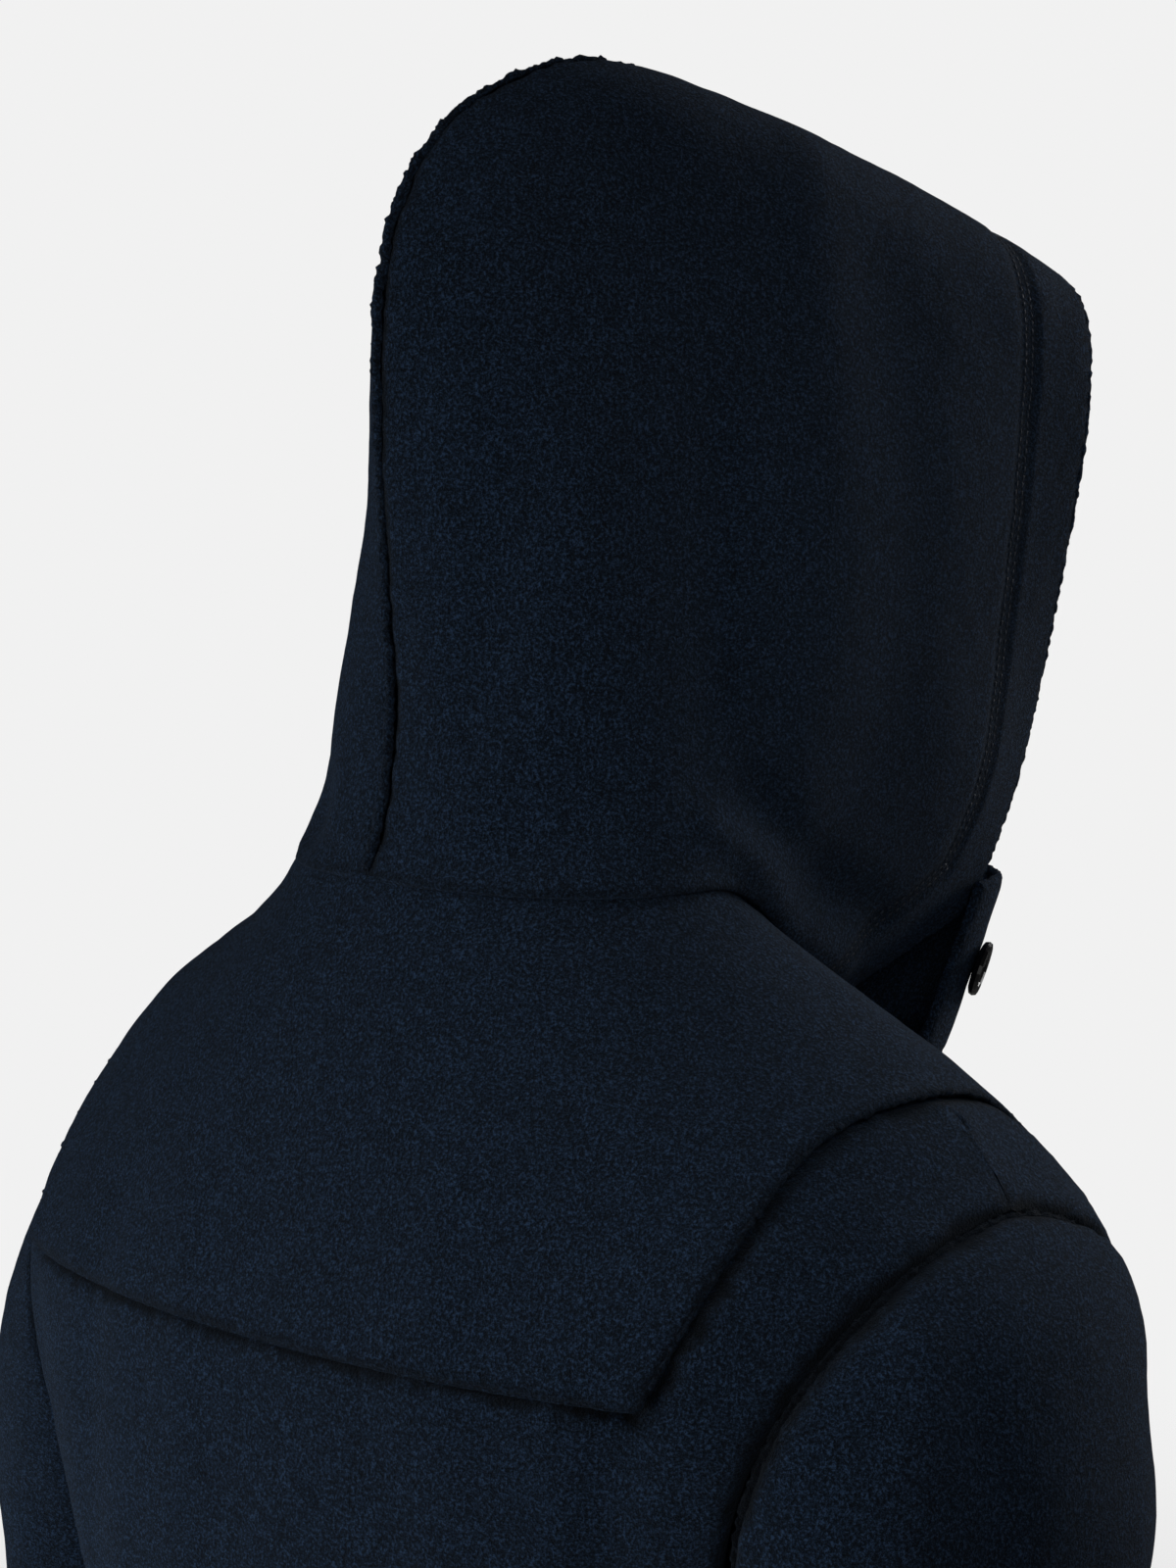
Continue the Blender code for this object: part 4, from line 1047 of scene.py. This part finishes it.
class COAT_OT_studio(bpy.types.Operator):
    """Sets the camera, a plain pale floor that fades into the surround, and soft studio lights"""
    bl_idname = "coat.studio"
    bl_label = "Studio"

    def execute(self, context):
        settings = context.scene.coat_studio
        self.set_camera(context.scene, settings)
        self.set_surround(context.scene, settings)
        self.set_floor(settings)
        for name, place, target, size, watts in LIGHTS:
            lamp = bpy.data.lights.new(name, "AREA")
            lamp.shape = "DISK"
            lamp.size = size
            lamp.energy = watts
            placed(name, lamp, place, target)
        context.scene.view_settings.view_transform = "Standard"
        return {"FINISHED"}

    def set_camera(self, scene, settings):
        """Puts the camera at its bearing, height and distance."""
        camera = bpy.data.cameras.new("camera")
        camera.lens = settings.lens
        camera.sensor_width = FRAME_WIDTH
        camera.clip_end = VIEW_DEPTH
        a, e = settings.azimuth, settings.elevation
        back = Vector((math.sin(a) * math.cos(e), -math.cos(a) * math.cos(e), math.sin(e)))
        scene.camera = placed("camera", camera, Vector(LOOK_AT) + back * settings.distance, LOOK_AT)

    def set_surround(self, scene, settings):
        """A pale surround that gives less light than it shows."""
        world = bpy.data.worlds.new("surround")
        scene.world = world
        world.use_nodes = True
        tree = world.node_tree
        tree.nodes.clear()
        seen = add(tree, "LightPath").outputs["Is Camera Ray"]
        strength = add(tree, "MapRange", {"Value": seen, "To Min": settings.surround, "To Max": 1.0})
        glow = add(tree, "Background", {"Color": (*settings.background, 1),
                                        "Strength": strength.outputs["Result"]})
        add(tree, "OutputWorld", {"Surface": glow.outputs["Background"]})

    def set_floor(self, settings):
        """A round of painted board that fades out towards its rim."""
        bm = bmesh.new()
        bmesh.ops.create_circle(bm, cap_ends=True, segments=96, radius=FLOOR_RADIUS)
        bmesh.ops.translate(bm, verts=bm.verts, vec=(0, 0, settings.floor_height))
        floor = object_from(bm, "floor")
        material = bpy.data.materials.new("painted_board")
        material.use_nodes = True
        tree = material.node_tree
        tree.nodes.clear()
        place = add(tree, "TexCoord").outputs["Object"]
        flat = add(tree, "VectorMath", {0: place, 1: (1, 1, 0)}, operation="MULTIPLY")
        reach = add(tree, "VectorMath", {0: flat.outputs["Vector"]}, operation="LENGTH")
        fade = add(tree, "MapRange", {"Value": reach.outputs["Value"], "From Min": FLOOR_FADE[0],
                                      "From Max": FLOOR_FADE[1], "To Min": FLOOR_CLEAR},
                   interpolation_type="SMOOTHSTEP")
        board = add(tree, "BsdfDiffuse", {"Color": FLOOR_GREY})
        clear = add(tree, "BsdfTransparent")
        mix = add(tree, "MixShader", {0: fade.outputs["Result"], 1: board.outputs["BSDF"],
                                      2: clear.outputs["BSDF"]})
        add(tree, "OutputMaterial", {"Surface": mix.outputs["Shader"]})
        floor.data.materials.append(material)


class COAT_OT_finishes(bpy.types.Operator):
    """Makes the coat's finishes"""
    bl_idname = "coat.finishes"
    bl_label = "Finishes"

    def execute(self, context):
        Coat.materials = {
            "wool": boiled_wool(context.scene.coat_cloth),
            "button": cast_button(),
            "horn": buffalo_horn(),
            "leather": grain_leather(),
            "cord": waxed_cord(),
            "thread": sewing_thread(),
        }
        return {"FINISHED"}


class COAT_OT_hood(bpy.types.Operator):
    """Makes the two halves of the hood and the throat tab as wool shells on their solids"""
    bl_idname = "coat.hood"
    bl_label = "Hood and tab"

    def execute(self, context):
        settings = context.scene.coat_cloth
        for name in ("hood_left", "hood_right", "throat_tab"):
            cloth_shell(name, settings)
        lines = Coat.edges["hood_left"] + Coat.edges["hood_right"]
        sides = [side for line in lines for side in split_at_corners(line)]
        feet = [side for side in sides if side.mean(0)[2] < HOOD_NECK_BELOW]
        Coat.trees["neck"] = search_tree([p for foot in feet for p in foot])
        return {"FINISHED"}


class COAT_OT_body(bpy.types.Operator):
    """Makes the yoke, back, fronts and sleeves as wool shells on their solids"""
    bl_idname = "coat.body"
    bl_label = "Body and sleeves"

    def execute(self, context):
        settings = context.scene.coat_cloth
        cloth_shell("yoke", settings)
        Coat.trees["yoke"] = search_tree([p for line in Coat.edges["yoke"] for p in line])
        for name in ("back", "front_left", "front_right", "sleeve_left", "sleeve_right"):
            cloth_shell(name, settings)
        return {"FINISHED"}


class COAT_OT_raw_edges(bpy.types.Operator):
    """Runs a bobbly raw edge along each cut edge that shows"""
    bl_idname = "coat.raw_edges"
    bl_label = "Raw edges"

    def execute(self, context):
        for name in PANELS:
            found = {}
            for line in Coat.edges[name]:
                for side in split_at_corners(line):
                    found.setdefault(side_kind(name, side.mean(0)), []).append(side)
            if name.startswith("hood"):
                found.pop("ridge")
            if name == "hood_left":
                found["ridge"] = [ridge_line(name, Vector((1, 0, 0)), RIDGE_BESIDE, RIDGE_ABOVE)]
            for kind, sides in found.items():
                if kind in RAW_EDGES:
                    radius, bump, grain, dark = RAW_EDGES[kind]
                    raw_edge(f"raw_{kind}_{name}", sides, radius * MM, bump * MM, grain * MM, dark)
        return {"FINISHED"}


class COAT_OT_stitching(bpy.types.Operator):
    """Sews the double rows along the hood's front, the hem and the cuffs"""
    bl_idname = "coat.stitching"
    bl_label = "Stitching"

    def execute(self, context):
        for name, rows in Coat.stitches.items():
            if rows:
                stitch_rows("stitches_" + name, rows, Coat.surfaces[name])
        return {"FINISHED"}


class COAT_OT_fastenings(bpy.types.Operator):
    """Finishes the buttons, toggles, leather patches and cord loops"""
    bl_idname = "coat.fastenings"
    bl_label = "Fastenings"

    def execute(self, context):
        kinds = {"toggle": "horn", "patch": "leather", "hood_button": "button", "throat_button": "button"}
        for name, node in NODES.items():
            for start, finish in kinds.items():
                if name.startswith(start):
                    node.data.materials.clear()
                    node.data.materials.append(Coat.materials[finish])
            if name.startswith("loop"):
                twisted_cord(name)
            if name.startswith("patch"):
                patch_stitches(name)
        return {"FINISHED"}


class COAT_PT_panel(bpy.types.Panel):
    bl_label = "Duffle coat"
    bl_idname = "COAT_PT_panel"
    bl_space_type = "VIEW_3D"
    bl_region_type = "UI"
    bl_category = "Coat"

    def draw(self, context):
        layout = self.layout
        for group in (context.scene.coat_cloth, context.scene.coat_studio):
            for key in group.__annotations__:
                layout.prop(group, key)
        for step in STEPS:
            layout.operator(step.bl_idname)


STEPS = (COAT_OT_studio, COAT_OT_finishes, COAT_OT_hood, COAT_OT_body, COAT_OT_raw_edges, COAT_OT_stitching,
         COAT_OT_fastenings)
GROUPS = (CoatClothSettings, CoatStudioSettings)


def register():
    for kind in (*GROUPS, *STEPS, COAT_PT_panel):
        bpy.utils.register_class(kind)
    bpy.types.Scene.coat_cloth = PointerProperty(type=CoatClothSettings)
    bpy.types.Scene.coat_studio = PointerProperty(type=CoatStudioSettings)


def unregister():
    del bpy.types.Scene.coat_cloth
    del bpy.types.Scene.coat_studio
    for kind in reversed((*GROUPS, *STEPS, COAT_PT_panel)):
        bpy.utils.unregister_class(kind)


def main():
    register()
    bpy.ops.coat.studio()
    bpy.ops.coat.finishes()
    bpy.ops.coat.hood()
    bpy.ops.coat.body()
    bpy.ops.coat.raw_edges()
    bpy.ops.coat.stitching()
    bpy.ops.coat.fastenings()


if __name__ == "__main__":
    main()
